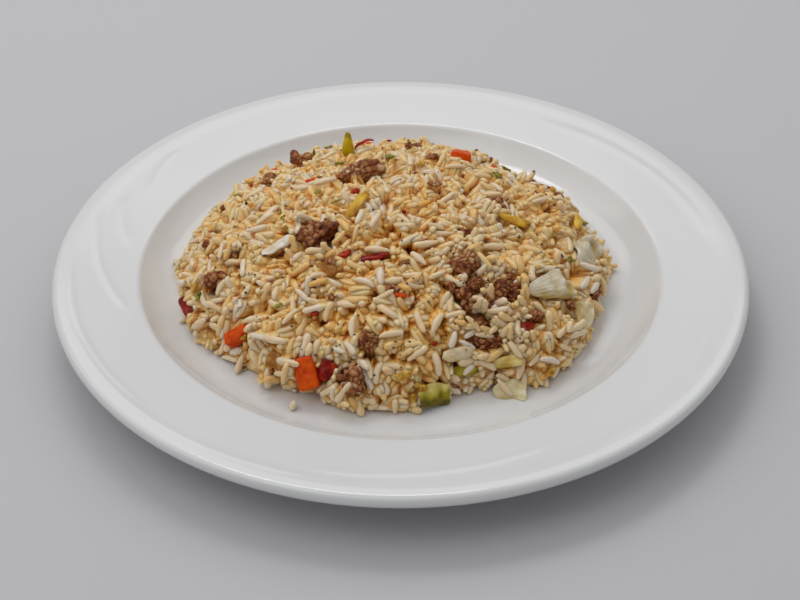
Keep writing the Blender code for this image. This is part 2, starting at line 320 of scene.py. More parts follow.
def make_plate():
    section = plate_section()
    turn = np.arange(PLATE_TURNS) * math.tau / PLATE_TURNS
    r, z = section[:, 0][:, None], section[:, 1][:, None]
    on_rim = (z > 15) * np.clip((r - 103.5) / 2, 0, 1) * np.clip((132.2 - r) / 2, 0, 1)
    on_rim *= (np.arange(len(section)) < 80)[:, None]
    z = z + swirl(r, turn) * on_rim
    points = np.stack([r * np.cos(turn), r * np.sin(turn), z], axis=-1).reshape(-1, 3)
    points = np.concatenate([[(0, 0, 10.5)], points, [(0, 0, 4.5)]])
    glaze = Finish("white glaze", Roughness=0.16, IOR=1.5, Coat_Weight=0.35, Coat_Roughness=0.06)
    uneven = glaze.effect(mottle, Grain=14.0, Skin_grain=55.0)
    glaze.colour(uneven["Spots"], (0.3, (0.735, 0.738, 0.740)), (0.7, (0.765, 0.768, 0.770)))
    material = glaze.relief(uneven["Skin"], 0.035)
    plate = add_piece("plate_glazed", points, ring_faces(len(section), PLATE_TURNS), material)
    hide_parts("plate")


make_plate()

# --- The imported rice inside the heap
# A low dome with an uneven edge, as it fell from the spoon. Under its loose grains is the
# same dome some millimetres smaller, packed and browned by the sauce that has run down.

WELL = 10.5  # height of the well's floor
STRETCH = np.array([1.0, 1.0, 2.28])  # turns the low dome into half a ball
AZIMUTHS, POLARS = 120, 40
CORE_DEPTH = 5.0


def unit(v):
    return v / np.maximum(np.linalg.norm(v, axis=-1, keepdims=True), 1e-9)


def ripple(points, size, seed):
    """Smooth lumps between about -1 and 1, this many millimetres across: a sum of waves."""
    rng = np.random.default_rng(seed)
    total = np.zeros(points.shape[:-1])
    for _ in range(10):
        way = unit(rng.normal(size=3))
        total += np.sin(points @ way * math.tau / (size * rng.uniform(0.8, 1.6)) + rng.uniform(0, math.tau))
    return total / 3.2


def ball_way(turn, polar):
    """The way out of the half ball at an azimuth and a polar angle."""
    return np.stack([np.sin(polar) * np.cos(turn), np.sin(polar) * np.sin(turn), np.cos(polar) + 0 * turn], axis=-1)


def outward(points):
    """The way out of the heap at these points."""
    return unit((points - [0, 0, WELL]) * STRETCH**2)


class Block:
    """A CAD node's middle, its long, wide and thick axes, and half its size along each."""

    def __init__(self, name):
        mesh = bpy.data.objects[name].data
        points = np.empty(len(mesh.vertices) * 3, dtype=np.float32)
        mesh.vertices.foreach_get("co", points)
        points = points.reshape(-1, 3).astype(float) * 1000
        self.name = name
        self.middle = (points.min(axis=0) + points.max(axis=0)) / 2
        spread = points - points.mean(axis=0)
        axes = np.linalg.eigh(spread.T @ spread)[1][:, ::-1].T
        # the axis nearest the way out of the heap is the thick one
        out = outward(self.middle[None])[0]
        order = np.argsort(np.abs(axes @ out) > 0.75 * np.abs(axes @ out).max(), kind="stable")
        axes = axes[order]
        axes[2] *= np.sign(axes[2] @ out)
        axes[0] *= np.sign(axes[0][0] + 1e-6)
        axes[1] = np.cross(axes[2], axes[0])
        along = (points - self.middle) @ axes.T
        self.middle = self.middle + (along.min(axis=0) + along.max(axis=0)) / 2 @ axes
        self.half = (along.max(axis=0) - along.min(axis=0)) / 2
        self.axes = axes

    def world(self, local):
        """Points given along the block's own axes, in the heap's place."""
        return local @ self.axes + self.middle


class Spot(Block):
    """A place on the heap for a piece: its middle is lifted from the smooth surface, its
    thick axis points out, or the way it faces, and its long axis lies along the heading."""

    def __init__(self, x, y, heading, long, wide, thick, lift=0.0, face=None):
        middle = np.array([[x, y, WELL + 30.0]])
        for _ in range(40):
            middle[:, 2] -= 0.6 * (level_of(middle) - lift) / np.maximum(outward(middle)[:, 2], 0.3)
            middle[:, 2] = np.maximum(middle[:, 2], WELL + thick / 2)
        self.middle = middle[0]
        out = unit(np.array(face)) if face else outward(middle)[0]
        turn = math.radians(heading)
        along = unit(np.cross(np.cross(out, [math.cos(turn), math.sin(turn), 0.0]), out))
        self.half = np.array([long, wide, thick]) / 2
        self.axes = np.stack([along, np.cross(out, along), out])


def measure_reach():
    """The dome's radius as half a ball, over azimuth and polar angle, from the CAD heap."""
    mesh = bpy.data.objects["rice_heap"].data
    tree = BVHTree.FromPolygons([v.co for v in mesh.vertices], [p.vertices for p in mesh.polygons])
    radius = np.zeros((AZIMUTHS, POLARS + 1))
    for i in range(AZIMUTHS):
        for j in range(POLARS + 1):
            way = ball_way(math.tau * i / AZIMUTHS, 0.4999 * math.pi * j / POLARS) / STRETCH
            start = np.array([0, 0, WELL + 0.35]) + 140 * way
            hit = tree.ray_cast(start / 1000, -way)[0]
            radius[i, j] = np.linalg.norm((np.array(hit) * 1000 - [0, 0, WELL]) * STRETCH)
    return radius


def fill_pockets(radius):
    """Spread the dome's radius smoothly over the pockets where other pieces lie."""
    turn, polar = np.meshgrid(np.arange(AZIMUTHS) / AZIMUTHS, np.arange(POLARS + 1) / POLARS, indexing="ij")
    points = ball_way(turn * math.tau, polar * math.pi / 2) * radius[..., None] / STRETCH + [0, 0, WELL]
    pocket = np.zeros(radius.shape, dtype=bool)
    for block in blocks.values():
        local = (points - block.middle) @ block.axes.T / (block.half + 1.2)
        pocket |= (np.hypot(local[..., 0], local[..., 1]) < 1.2) & (np.abs(local[..., 2]) < 6)
    for _ in range(300):
        around = np.roll(radius, 1, 0) + np.roll(radius, -1, 0)
        around[:, 1:-1] += radius[:, 2:] + radius[:, :-2]
        around[:, 0], around[:, -1] = around[:, 0] + 2 * radius[:, 1], around[:, -1] + 2 * radius[:, -2]
        radius = np.where(pocket, around / 4, radius)
    radius[:, 0] = radius[:, 1].mean()
    return radius


blocks = {name: Block(name) for name in sorted(set(frame["nodes"]) - {"plate", "rice_heap"})}
reach = fill_pockets(measure_reach())


def level_of(points):
    """How far points stand out of the heap's smooth surface, in millimetres: the radius as
    half a ball, less the dome's radius that way, over how fast that radius grows."""
    q = (points - [0, 0, WELL]) * STRETCH
    radius = np.linalg.norm(q, axis=-1)
    i = np.arctan2(q[..., 1], q[..., 0]) / math.tau % 1.0 * AZIMUTHS
    j = np.arccos(np.clip(q[..., 2] / np.maximum(radius, 1e-6), 0, 1)) / (0.5 * math.pi) * POLARS
    i0, j0 = np.floor(i).astype(int), np.minimum(np.floor(j).astype(int), POLARS - 1)
    u, v, a, b = i - i0, j - j0, i0 % AZIMUTHS, (i0 + 1) % AZIMUTHS
    surface = (1 - u) * ((1 - v) * reach[a, j0] + v * reach[a, j0 + 1])
    surface += u * ((1 - v) * reach[b, j0] + v * reach[b, j0 + 1])
    steep = np.linalg.norm(q * STRETCH, axis=-1) / np.maximum(radius, 1e-6)
    lumps = 1.1 * ripple(points, 17.0, 2) + 0.7 * ripple(points, 9.0, 4)
    return (radius - surface) / np.maximum(steep, 1e-6) - lumps


def make_core():
    """The dome at CORE_DEPTH below the surface, knobbly all over, with a flat foot."""
    rows, columns = 60, 150
    turn = np.arange(columns) * math.tau / columns
    way = ball_way(turn, np.linspace(0, 0.5 * math.pi, rows + 1)[1:][:, None])
    points = way * 60 / STRETCH + [0, 0, WELL]
    for _ in range(12):
        step = level_of(points) + CORE_DEPTH - 0.7 * ripple(points, 7.0, 3) - 0.4 * ripple(points, 3.2, 5)
        points = points - way / STRETCH * step[..., None]
    points[-1] = points[-1] * [1, 1, 0] + [0, 0, WELL + 0.05]
    inner = points[-1] * [0.5, 0.5, 1]
    skin = np.concatenate([[points[0].mean(axis=0)], points.reshape(-1, 3), inner, [(0, 0, WELL + 0.05)]])
    paint = Finish("packed rice", Roughness=0.5, Subsurface_Weight=0.4, Subsurface_Scale=0.002)
    uneven = paint.effect(mottle, Grain=260.0, Skin_grain=420.0)
    paint.colour(uneven["Spots"], (0.3, (0.40, 0.17, 0.04)), (0.5, (0.62, 0.34, 0.11)), (0.72, (0.72, 0.48, 0.21)))
    material = paint.relief(uneven["Skin"], 0.7)
    core = add_piece("rice_core", skin, ring_faces(rows + 1, columns), material)
    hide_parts("rice_heap")


make_core()

# pieces that lie a little otherwise than their nodes: x, y, heading, length, width,
# thickness, lift and, where it isn't straight out of the heap, the way the piece faces
RELAID = {
    "carrot_left": (-60.4, -47.8, 17, 10.4, 5.6, 4.6, 0.0),
    "carrot_front": (-33.4, -68.4, 83, 12.0, 7.8, 5.6, 0.0),
    "carrot_back": (24.4, 47.5, -5, 8.5, 6.0, 5.5, -0.8),
    "pepper_front": (-26.6, -69.2, 55, 7.6, 5.8, 3.4, 0.2),
    "pepper_middle": (-9.6, -27.0, 14, 10.8, 3.0, 2.2, -1.0),
    "cabbage_white": (54.8, -34.0, 32, 20.5, 13.0, 2.2, 2.2),
    "cabbage_edge": (68.6, -37.6, 110, 10.2, 8.4, 2.4, 2.0, (0.45, -0.60, 0.66)),
    "cabbage_stalk": (39.8, -67.2, 0, 12.6, 10.4, 2.2, 2.8, (0.0, -0.55, 0.83)),
    "cabbage_tip": (-21.4, 51.0, 90, 9.6, 5.2, 1.6, 3.2, (0.0, -0.98, 0.20)),
    "onion_left": (-46.4, -17.6, 28, 13.6, 4.8, 1.8, 1.7),
    "onion_gold": (-27.0, -33.0, -40, 9.0, 5.2, 2.6, -1.2),
    "mince_rear": (3.9, 61.5, 20, 8.0, 6.0, 4.4, -1.5),
}
for name, place in RELAID.items():
    blocks[name] = Spot(*place)

# dark holes between clumps, which the grains keep out of: x, y and width
HOLES = ((25.3, -49.8, 5.0), (12.4, -65.5, 3.5), (30.5, -58.5, 3.5), (-9.5, -66.0, 3.0), (31.4, -24.0, 3.5))
for number, (x, y, width) in enumerate(HOLES):
    blocks[f"hole_{number}"] = Spot(x, y, 30 * number, width * 1.3, width, 1.0, -2.5)

# --- Diced carrot
# Small cooked cubes, cut by hand: flat sides, edges rounded in the pan and a wet shine.
# Each lies in its own pocket of the heap.

CARROTS = ("carrot_left", "carrot_front", "carrot_back", "carrot_rear")
CARROT_SHREDS = (  # x, y, heading, length, width, thickness, lift
    (-0.2, -47.3, -4, 5.2, 2.0, 1.6, 0.3),
    (-34.6, 27.0, 18, 6.0, 2.2, 1.6, 0.4),
    (38.0, 45.0, 60, 4.5, 2.2, 1.6, 0.4),
    (-52.0, 47.0, -30, 4.0, 2.6, 1.8, 0.4),
    (10.0, 68.0, 10, 4.6, 2.4, 1.8, 0.3),
    (71.0, 22.0, 80, 3.4, 1.8, 1.4, 0.4),
)


def slab_skin(square, edge, turns=36, rings=6):
    """A closed slab 2 long, 2 wide and 2 thick. The outline's radius at an angle is
    (|cos|^n + |sin|^n)^(-1/n), n being square: 2 is an ellipse and 8 nearly a rectangle. It
    shrinks in rings to the middle above and below, round an edge of the given width."""
    turn = np.arange(turns) * math.tau / turns
    radius = (np.abs(np.cos(turn)) ** square + np.abs(np.sin(turn)) ** square) ** (-1 / square)
    roll = np.radians(np.linspace(0, 180, 9))
    flat = np.linspace(0, 1 - edge, rings + 1)[1:-1]
    share = np.concatenate([flat, 1 - edge + edge * np.sin(roll), flat[::-1]])[:, None]
    height = np.concatenate([np.ones(rings - 1), np.cos(roll), -np.ones(rings - 1)])[:, None]
    skin = np.stack([share * radius * np.cos(turn), share * radius * np.sin(turn), height + 0 * turn], axis=-1)
    points = np.concatenate([[(0, 0, 1)], skin.reshape(-1, 3), [(0, 0, -1)]])
    return points, ring_faces(len(share), turns)


def dice_points(block, square, edge, uneven, seed):
    """A slab that fills its block, with cut sides that lean and faces a little uneven."""
    rng = np.random.default_rng(seed)
    skin, faces = slab_skin(square, edge)
    lean = rng.uniform(-0.10, 0.10, 4)
    local = skin * block.half
    local[:, 0] *= 1 + lean[0] * skin[:, 1] + lean[1] * skin[:, 2]
    local[:, 1] *= 1 + lean[2] * skin[:, 0] + lean[3] * skin[:, 2]
    push = uneven * (0.6 * ripple(local, 3.5, seed) + 0.4 * ripple(local, 1.6, seed + 50))
    return block.world(local + unit(skin) * push[:, None]), faces


def wet_finish(name, deep, mid, light, grain=330.0, relief=0.12, gloss=0.30):
    """Cooked vegetable: three tones mottled together, cloudy below a wet surface."""
    paint = Finish(name, Roughness=gloss, Subsurface_Weight=0.25, Subsurface_Scale=0.0012, Coat_Weight=0.04)
    paint.shader.inputs["Specular IOR Level"].default_value = 0.14
    paint.shader.inputs["Coat Roughness"].default_value = 0.12
    uneven = paint.effect(mottle, Grain=grain, Fine=0.35, Skin_grain=2.6 * grain)
    paint.colour(uneven["Spots"], (0.45, deep), (0.66, mid), (0.88, light))
    return paint.relief(uneven["Skin"], relief)


def add_bits(name, rows, square, jag, material, seed):
    """One mesh of the small pieces in these rows, each a slab at its spot on the heap, which
    the grains keep clear of."""
    skin, faces = slab_skin(square, 0.35, 16, 4)
    rng = np.random.default_rng(seed)
    skins, shells = [], []
    for number, row in enumerate(rows):
        spot = Spot(*row)
        blocks[f"{name}_{number}"] = spot
        angle = np.arctan2(skin[:, 1], skin[:, 0])
        outline = sum(rng.normal(scale=jag) * np.cos(k * angle + rng.uniform(0, math.tau)) for k in (2, 3, 5))
        local = skin * spot.half * (1 + outline)[:, None]
        local += 0.10 * spot.half.min() * rng.normal(size=local.shape)
        skins.append(spot.world(local))
        shells.append(faces + number * len(skin))
    return add_piece(name, np.concatenate(skins), np.concatenate(shells), material)


def make_carrots():
    flesh = wet_finish("cooked carrot", (0.52, 0.040, 0.0005), (0.70, 0.072, 0.0006), (0.78, 0.125, 0.002))
    for seed, name in enumerate(CARROTS):
        points, faces = dice_points(blocks[name], 6.0, 0.16, 0.22, seed)
        piece = add_piece(name + "_dice", points, faces, flesh)
        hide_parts(name)
    add_bits("carrot_shreds", CARROT_SHREDS, 4.0, 0.12, flesh, 300)


make_carrots()

# --- Red pepper
# Strips cut from the wall of a red pepper: glossy skin outside, duller flesh inside, curled
# by the heat. Some have gone dark where they lay against the pan.

PEPPERS = ("pepper_front", "pepper_left", "pepper_middle", "pepper_rear")
PEPPER_BITS = (  # x, y, heading, length, width, thickness, lift
    (-20.7, -25.0, 22, 5.6, 2.7, 1.5, 0.6),
    (-17.6, 11.9, 60, 3.2, 2.7, 1.6, 0.9),
    (46.1, -52.5, 35, 5.4, 4.0, 2.2, 0.2),
    (-31.0, -53.6, 10, 2.9, 1.6, 1.2, 0.2),
    (1.3, -5.7, 0, 2.0, 1.3, 1.0, 0.6),
    (12.4, -61.8, 40, 2.4, 1.2, 1.0, 0.6),
    (-42.4, 21.9, 30, 2.6, 1.5, 1.2, 0.5),
    (-61.0, 41.0, 70, 3.0, 2.0, 1.4, 0.5),
    (13.0, 76.0, 0, 3.6, 2.2, 1.5, 0.3),
    (48.0, 57.0, -50, 2.8, 1.8, 1.2, 0.5),
    (-5.0, 62.0, 20, 2.2, 1.6, 1.2, 0.5),
)
CURL_MIDDLE, CURL_RADIUS = (-12.6, 52.0), 6.0


def strip_points(block, square, curl, jag, seed, twist=0.0, thin=1.0):
    """A slab over its block, its outline uneven by jag, thinned, bent across its width so
    that its edges drop by curl, and turned along its length by twist."""
    rng = np.random.default_rng(seed)
    skin, faces = slab_skin(square, 0.22, 48)
    angle = np.arctan2(skin[:, 1], skin[:, 0])
    outline = sum(rng.normal(scale=jag / k) * np.cos(k * angle + rng.uniform(0, math.tau)) for k in (2, 3, 5, 8))
    local = skin * block.half * [1, 1, thin]
    local[:, :2] *= (1 + outline)[:, None]
    local[:, 2] += (1 - thin) * block.half[2] + 0.25 * ripple(local * [1, 1, 0], 3.6, seed)
    local[:, 2] -= curl * skin[:, 1] ** 2 - 0.4 * curl
    a = twist * skin[:, 0]
    y, z = local[:, 1].copy(), local[:, 2].copy()
    local[:, 1], local[:, 2] = y * np.cos(a) - z * np.sin(a), y * np.sin(a) + z * np.cos(a)
    return block.world(local), faces


def make_peppers():
    skin = wet_finish("red pepper", (0.10, 0.002, 0.001), (0.28, 0.008, 0.003), (0.50, 0.045, 0.008), 240.0, 0.10, 0.22)
    for seed, name in enumerate(PEPPERS):
        points, faces = strip_points(blocks[name], 7.0, 0.5, 0.06, seed + 20, 0.30, 0.42)
        piece = add_piece(name + "_strip", points, faces, skin)
        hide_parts(name)
    add_bits("pepper_bits", PEPPER_BITS, 2.4, 0.10, skin, 320)
    make_skin_curl(skin)


def make_skin_curl(material):
    """A shred of skin bent round on edge: a lens-shaped section, 0.9 by 2.2 millimetres and
    thinning to both ends, carried round an arc that stands up on the heap."""
    run = np.linspace(0, 1, 30)[:, None]
    turn = np.radians(172 - 98 * run)
    section = np.arange(10) * math.tau / 10
    taper = np.sin(np.pi * np.clip(run, 0.06, 0.94)) ** 0.4
    radius = CURL_RADIUS + 0.45 * taper * np.cos(section) + 0.3 * np.sin(9 * run)
    foot = Spot(*CURL_MIDDLE, 0, 1, 1, 1, -1.2).middle
    skin = np.stack(
        [foot[0] + radius * np.cos(turn), foot[1] + 1.1 * taper * np.sin(section), foot[2] + radius * np.sin(turn)],
        axis=-1,
    )
    points = np.concatenate([[skin[0].mean(axis=0)], skin.reshape(-1, 3), [skin[-1].mean(axis=0)]])
    add_piece("pepper_skin_curl", points, ring_faces(30, 10), material)


make_peppers()

# --- Cabbage
# Torn leaf, from white rib to green edge, wilted soft: thin, wavy and clear enough for the
# light to pass, with ribs that fan out along each piece. Some are stained by the sauce.

LEAVES = {  # piece: tone, size against its node each way, ruffle, thickness, jag, fan, pale far edge
    "cabbage_white": ("white", 1.0, 1.0, 0.7, 0.9, 0.05, 0.40, 0.35),
    "cabbage_pale": ("white", 1.15, 1.45, 1.2, 1.0, 0.12, 0.10, 0.2),
    "cabbage_edge": ("cream", 1.0, 1.0, 0.5, 1.1, 0.07, 0.25, -0.2),
    "cabbage_green": ("green", 1.0, 1.0, 0.8, 1.0, 0.10, 0.05, 0.9),
    "cabbage_band": ("green", 1.1, 1.25, 0.6, 0.9, 0.14, 0.15, 0.1),
    "cabbage_strip": ("yellow", 1.15, 1.3, 0.6, 0.7, 0.12, 0.20, 0.3),
    "cabbage_stalk": ("cream", 1.0, 1.0, 0.5, 1.4, 0.10, 0.35, 0.3),
    "cabbage_yellow": ("golden", 1.05, 1.1, 0.5, 0.8, 0.10, 0.25, 0.3),
    "cabbage_tip": ("tip", 1.0, 1.0, 0.3, 0.9, 0.04, -0.36, 0.2),
    "cabbage_curl": ("golden", 1.1, 1.0, 0.6, 0.8, 0.10, 0.0, 0.2),
    "cabbage_side": ("golden", 1.0, 1.0, 0.5, 0.8, 0.14, 0.3, 0.3),
    "cabbage_rear": ("white", 1.05, 1.2, 0.8, 1.0, 0.08, 0.2, 0.3),
    "cabbage_far": ("green", 1.05, 1.15, 0.6, 1.0, 0.08, 0.1, 0.3),
}
LEAF_SHREDS = (  # x, y, heading, length, width, thickness, lift
    (38.8, 30.3, -50, 5.0, 2.4, 1.0, 0.9),
    (-45.0, -2.0, 70, 2.6, 1.4, 0.8, 1.2),
    (-32.0, 10.8, 60, 3.4, 1.8, 0.8, 1.1),
    (-24.8, 4.6, 30, 4.6, 0.9, 0.7, 1.3),
    (-46.9, 4.0, 80, 2.6, 1.2, 0.7, 1.2),
    (64.6, -15.2, 85, 4.2, 1.6, 0.9, 1.0),
    (-3.8, 39.6, -20, 5.4, 2.0, 1.0, 1.1),
    (-24.2, 36.8, 10, 3.4, 1.4, 0.8, 1.1),
    (-76.6, -27.1, 60, 3.6, 2.6, 1.0, 0.9),
    (-45.3, -45.1, 20, 3.4, 1.6, 0.8, 1.2),
    (-30.0, 60.0, 40, 4.6, 1.8, 0.9, 0.9),
    (-66.0, 30.0, -60, 3.8, 1.4, 0.8, 1.0),
    (44.0, 60.0, 20, 4.4, 2.0, 0.9, 0.8),
    (22.0, 58.0, 75, 3.2, 1.4, 0.8, 1.0),
    (73.0, 14.0, 50, 3.4, 1.6, 0.8, 0.9),
    (-8.0, 74.0, 0, 4.0, 2.2, 1.0, 0.6),
    (-35.4, 51.5, 107.5, 5.6, 1.3, 0.7, 2.6, (0.3, -0.95, 0.1)),
)
GOLDEN_SHREDS = (
    (1.0, -74.6, 20, 6.6, 3.0, 1.8, 1.5),
    (7.2, -74.2, -30, 5.0, 2.8, 1.8, 1.5),
    (4.4, -76.6, 75, 3.2, 2.2, 1.6, 1.3),
    (-78.5, -22.0, 60, 4.0, 2.6, 1.4, 1.2),
    (-73.8, -24.5, -40, 3.6, 2.4, 1.2, 1.5),
    (30.4, -2.2, -35, 4.4, 2.2, 1.4, 1.4),
    (-58.0, -50.5, 10, 3.4, 2.0, 1.4, 0.8),
    (8.0, 30.0, 10, 3.6, 2.0, 1.4, 1.0),
    (-2.5, 31.0, 80, 3.0, 1.8, 1.2, 1.1),
    (55.0, -62.0, 50, 4.6, 2.6, 1.6, 0.9),
    (-40.0, 62.0, -10, 5.0, 2.6, 1.4, 1.1),
    (61.0, 30.0, 70, 4.2, 2.4, 1.4, 1.1),
)
LEAF_TONES = {  # how ribbed it is; the painted shade of its hollows, its body, the painted light on its ruffles' crests
    "white": (1.0, (0.50, 0.35, 0.10), (0.62, 0.52, 0.34), (0.74, 0.69, 0.57)),
    "cream": (0.7, (0.58, 0.42, 0.16), (0.78, 0.66, 0.38), (0.86, 0.79, 0.57)),
    "yellow": (0.8, (0.40, 0.24, 0.02), (0.68, 0.47, 0.10), (0.80, 0.64, 0.26)),
    "green": (0.25, (0.14, 0.10, 0.002), (0.42, 0.34, 0.008), (0.74, 0.62, 0.20)),
    "tip": (0.4, (0.34, 0.24, 0.003), (0.64, 0.52, 0.012), (0.74, 0.64, 0.06)),
    "golden": (0.5, (0.34, 0.12, 0.003), (0.62, 0.34, 0.010), (0.78, 0.52, 0.05)),
}


def leaf_points(block, long, wide, ruffle, thickness, jag, spread, rim, seed):
    """A thin wavy sheet over its block: a slab of the given half thickness whose height is a
    sum of waves that grow from its rib end to its torn edge, and the block's own bulge.
    With it, each point's place along the fan of ribs, from -1 to 1, and its crest_light: its height on the ruffles and
    nearness to the far edge, for painted light and shade."""
    rng = np.random.default_rng(seed)
    skin, faces = slab_skin(3.6, 0.10, 48, 9)
    angle = np.arctan2(skin[:, 1], skin[:, 0])
    outline = sum(rng.normal(scale=jag / k**0.7) * np.cos(k * angle + rng.uniform(0, math.tau)) for k in (2, 3, 5, 7, 11))
    a, b, c = block.half * [long, wide, 1.0]
    local = skin * [a, b, thickness * 0.5]
    local[:, :2] *= (1 + outline)[:, None]
    local[:, 1] *= 1 - abs(spread) / 2 + spread * skin[:, 0]
    flat = local * [1, 1, 0]
    wave = ripple(flat, 7.0, seed) + 0.5 * ripple(flat, 3.4, seed + 9)
    grow = 0.55 + 0.45 * skin[:, 0] + 0.25 * np.hypot(skin[:, 0], skin[:, 1])
    lift = ruffle * wave * grow
    local[:, 2] += lift + 0.8 * c * (1 - 0.5 * skin[:, 1] ** 2)
    fan = np.arctan2(local[:, 1], local[:, 0] + 1.7 * a)
    # painted light and shade: paler where the ruffles rise and towards the far edge, darker in their hollows
    crest_light = np.clip(0.5 + 0.35 * lift / ruffle + rim * skin[:, 1], 0, 1)
    return block.world(local), faces, {"fan": fan, "crest_light": crest_light}


def make_veins():
    """The effect of a leaf's ribs: a wave across its fan, which wanders a little, and fine
    veins between. Tone is its crest_light, a painted light and shade, its mottle and its
    ribs together, and Skin is raised."""
    effect = Effect("leaf veins", {"Ribbed": 1.0}, ("Tone", "Skin"))
    wander = effect.times(effect.noise(300.0, 2.0), 0.10)
    wave = effect.sum(effect.times(effect.sum(effect.field("fan"), wander), 62.0), 0.0, "SINE")
    ribs = effect.times(effect.sum(effect.times(wave, 0.5), 0.5), effect.given["Ribbed"])
    tone = effect.sum(effect.times(effect.field("crest_light"), 0.55), effect.times(effect.noise(240.0, 3.0), 0.45))
    effect.feed(effect.result["Tone"], effect.sum(tone, effect.times(ribs, 0.07)))
    effect.feed(effect.result["Skin"], effect.sum(ribs, effect.noise(1300.0, 2.0)))
    return effect.tree


leaf_veins = make_veins()


def leaf_finish(name, ribbed, hollow, body, crest_light):
    """Wilted leaf: its colour follows the ruffles, with painted shade in their hollows and painted light on their
    crests, and its pale ribs, below a wet surface.
    """
    paint = Finish(name, Roughness=0.3, Subsurface_Weight=0.5, Subsurface_Scale=0.0015, Coat_Weight=0.12)
    paint.shader.inputs["Specular IOR Level"].default_value = 0.2
    paint.shader.inputs["Coat Roughness"].default_value = 0.15
    veins = paint.effect(leaf_veins, Ribbed=ribbed)
    paint.colour(veins["Tone"], (0.26, hollow), (0.52, body), (0.80, crest_light))
    return paint.relief(veins["Skin"], 0.12)


def make_cabbage():
    finishes = {tone: leaf_finish("cabbage " + tone, *colours) for tone, colours in LEAF_TONES.items()}
    for seed, (name, (tone, *shape)) in enumerate(LEAVES.items()):
        points, faces, fields = leaf_points(blocks[name], *shape, seed + 40)
        piece = add_piece(name + "_leaf", points, faces, finishes[tone], fields)
        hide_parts(name)
    green = wet_finish("leaf shred", (0.09, 0.09, 0.008), (0.24, 0.22, 0.02), (0.46, 0.42, 0.08), 500.0)
    add_bits("leaf_shreds", LEAF_SHREDS, 2.2, 0.16, green, 340)
    golden = wet_finish("golden shred", (0.36, 0.12, 0.008), (0.60, 0.31, 0.03), (0.72, 0.48, 0.12), 400.0)
    add_bits("golden_shreds", GOLDEN_SHREDS, 2.6, 0.14, golden, 350)


make_cabbage()

# --- Onion
# Soft pieces of onion ring, glassy white where they are fresh and golden to brown where
# they took up the sauce: smooth, wet and ridged along their length.

ONIONS = {  # piece: stained parts, body, and the palest of it
    "onion_left": ((0.70, 0.56, 0.34), (0.79, 0.74, 0.64), (0.84, 0.82, 0.78)),
    "onion_gold": ((0.18, 0.05, 0.003), (0.33, 0.12, 0.010), (0.48, 0.24, 0.04)),
    "onion_brown": ((0.24, 0.08, 0.006), (0.46, 0.19, 0.030), (0.62, 0.36, 0.11)),
    "onion_front": ((0.60, 0.42, 0.20), (0.74, 0.58, 0.34), (0.80, 0.69, 0.48)),
    "onion_rear": ((0.50, 0.38, 0.20), (0.64, 0.56, 0.40), (0.75, 0.71, 0.60)),
}


def make_onions():
    for seed, (name, tones) in enumerate(ONIONS.items()):
        gloss = 0.10 if name == "onion_left" else 0.24
        flesh = wet_finish(name.replace("_", " "), *tones, grain=260.0, relief=0.10, gloss=gloss)
        points, faces = strip_points(blocks[name], 3.2, 0.5, 0.15, seed + 70, 0.35, 0.55)
        piece = add_piece(name + "_ring", points, faces, flesh)
        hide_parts(name)


make_onions()

# --- Minced beef
# Crumbs of fried mince: short twisted strands pressed into granules not two millimetres
# across, dark brown, with painted shade darkest in the creases and painted light on the
# granules' tops, and a slight greasy shine.

MINCE = {  # tone from 0, nearly black, to 1, pale grey brown; and granule size
    "mince_left": (0.40, 1.8),
    "mince_top": (0.72, 1.7),
    "mince_peak": (0.50, 1.5),
    "mince_side": (0.40, 1.9),
    "mince_foot": (0.62, 1.9),
    "mince_front": (0.55, 1.7),
    "mince_middle": (0.66, 1.9),
    "mince_hollow": (0.50, 1.9),
    "mince_right": (0.36, 1.8),
    "mince_low": (0.34, 1.8),
    "mince_edge": (0.50, 1.7),
    "mince_far": (0.50, 1.6),
    "mince_rear": (0.45, 1.6),
    "mince_behind": (0.50, 1.7),
}


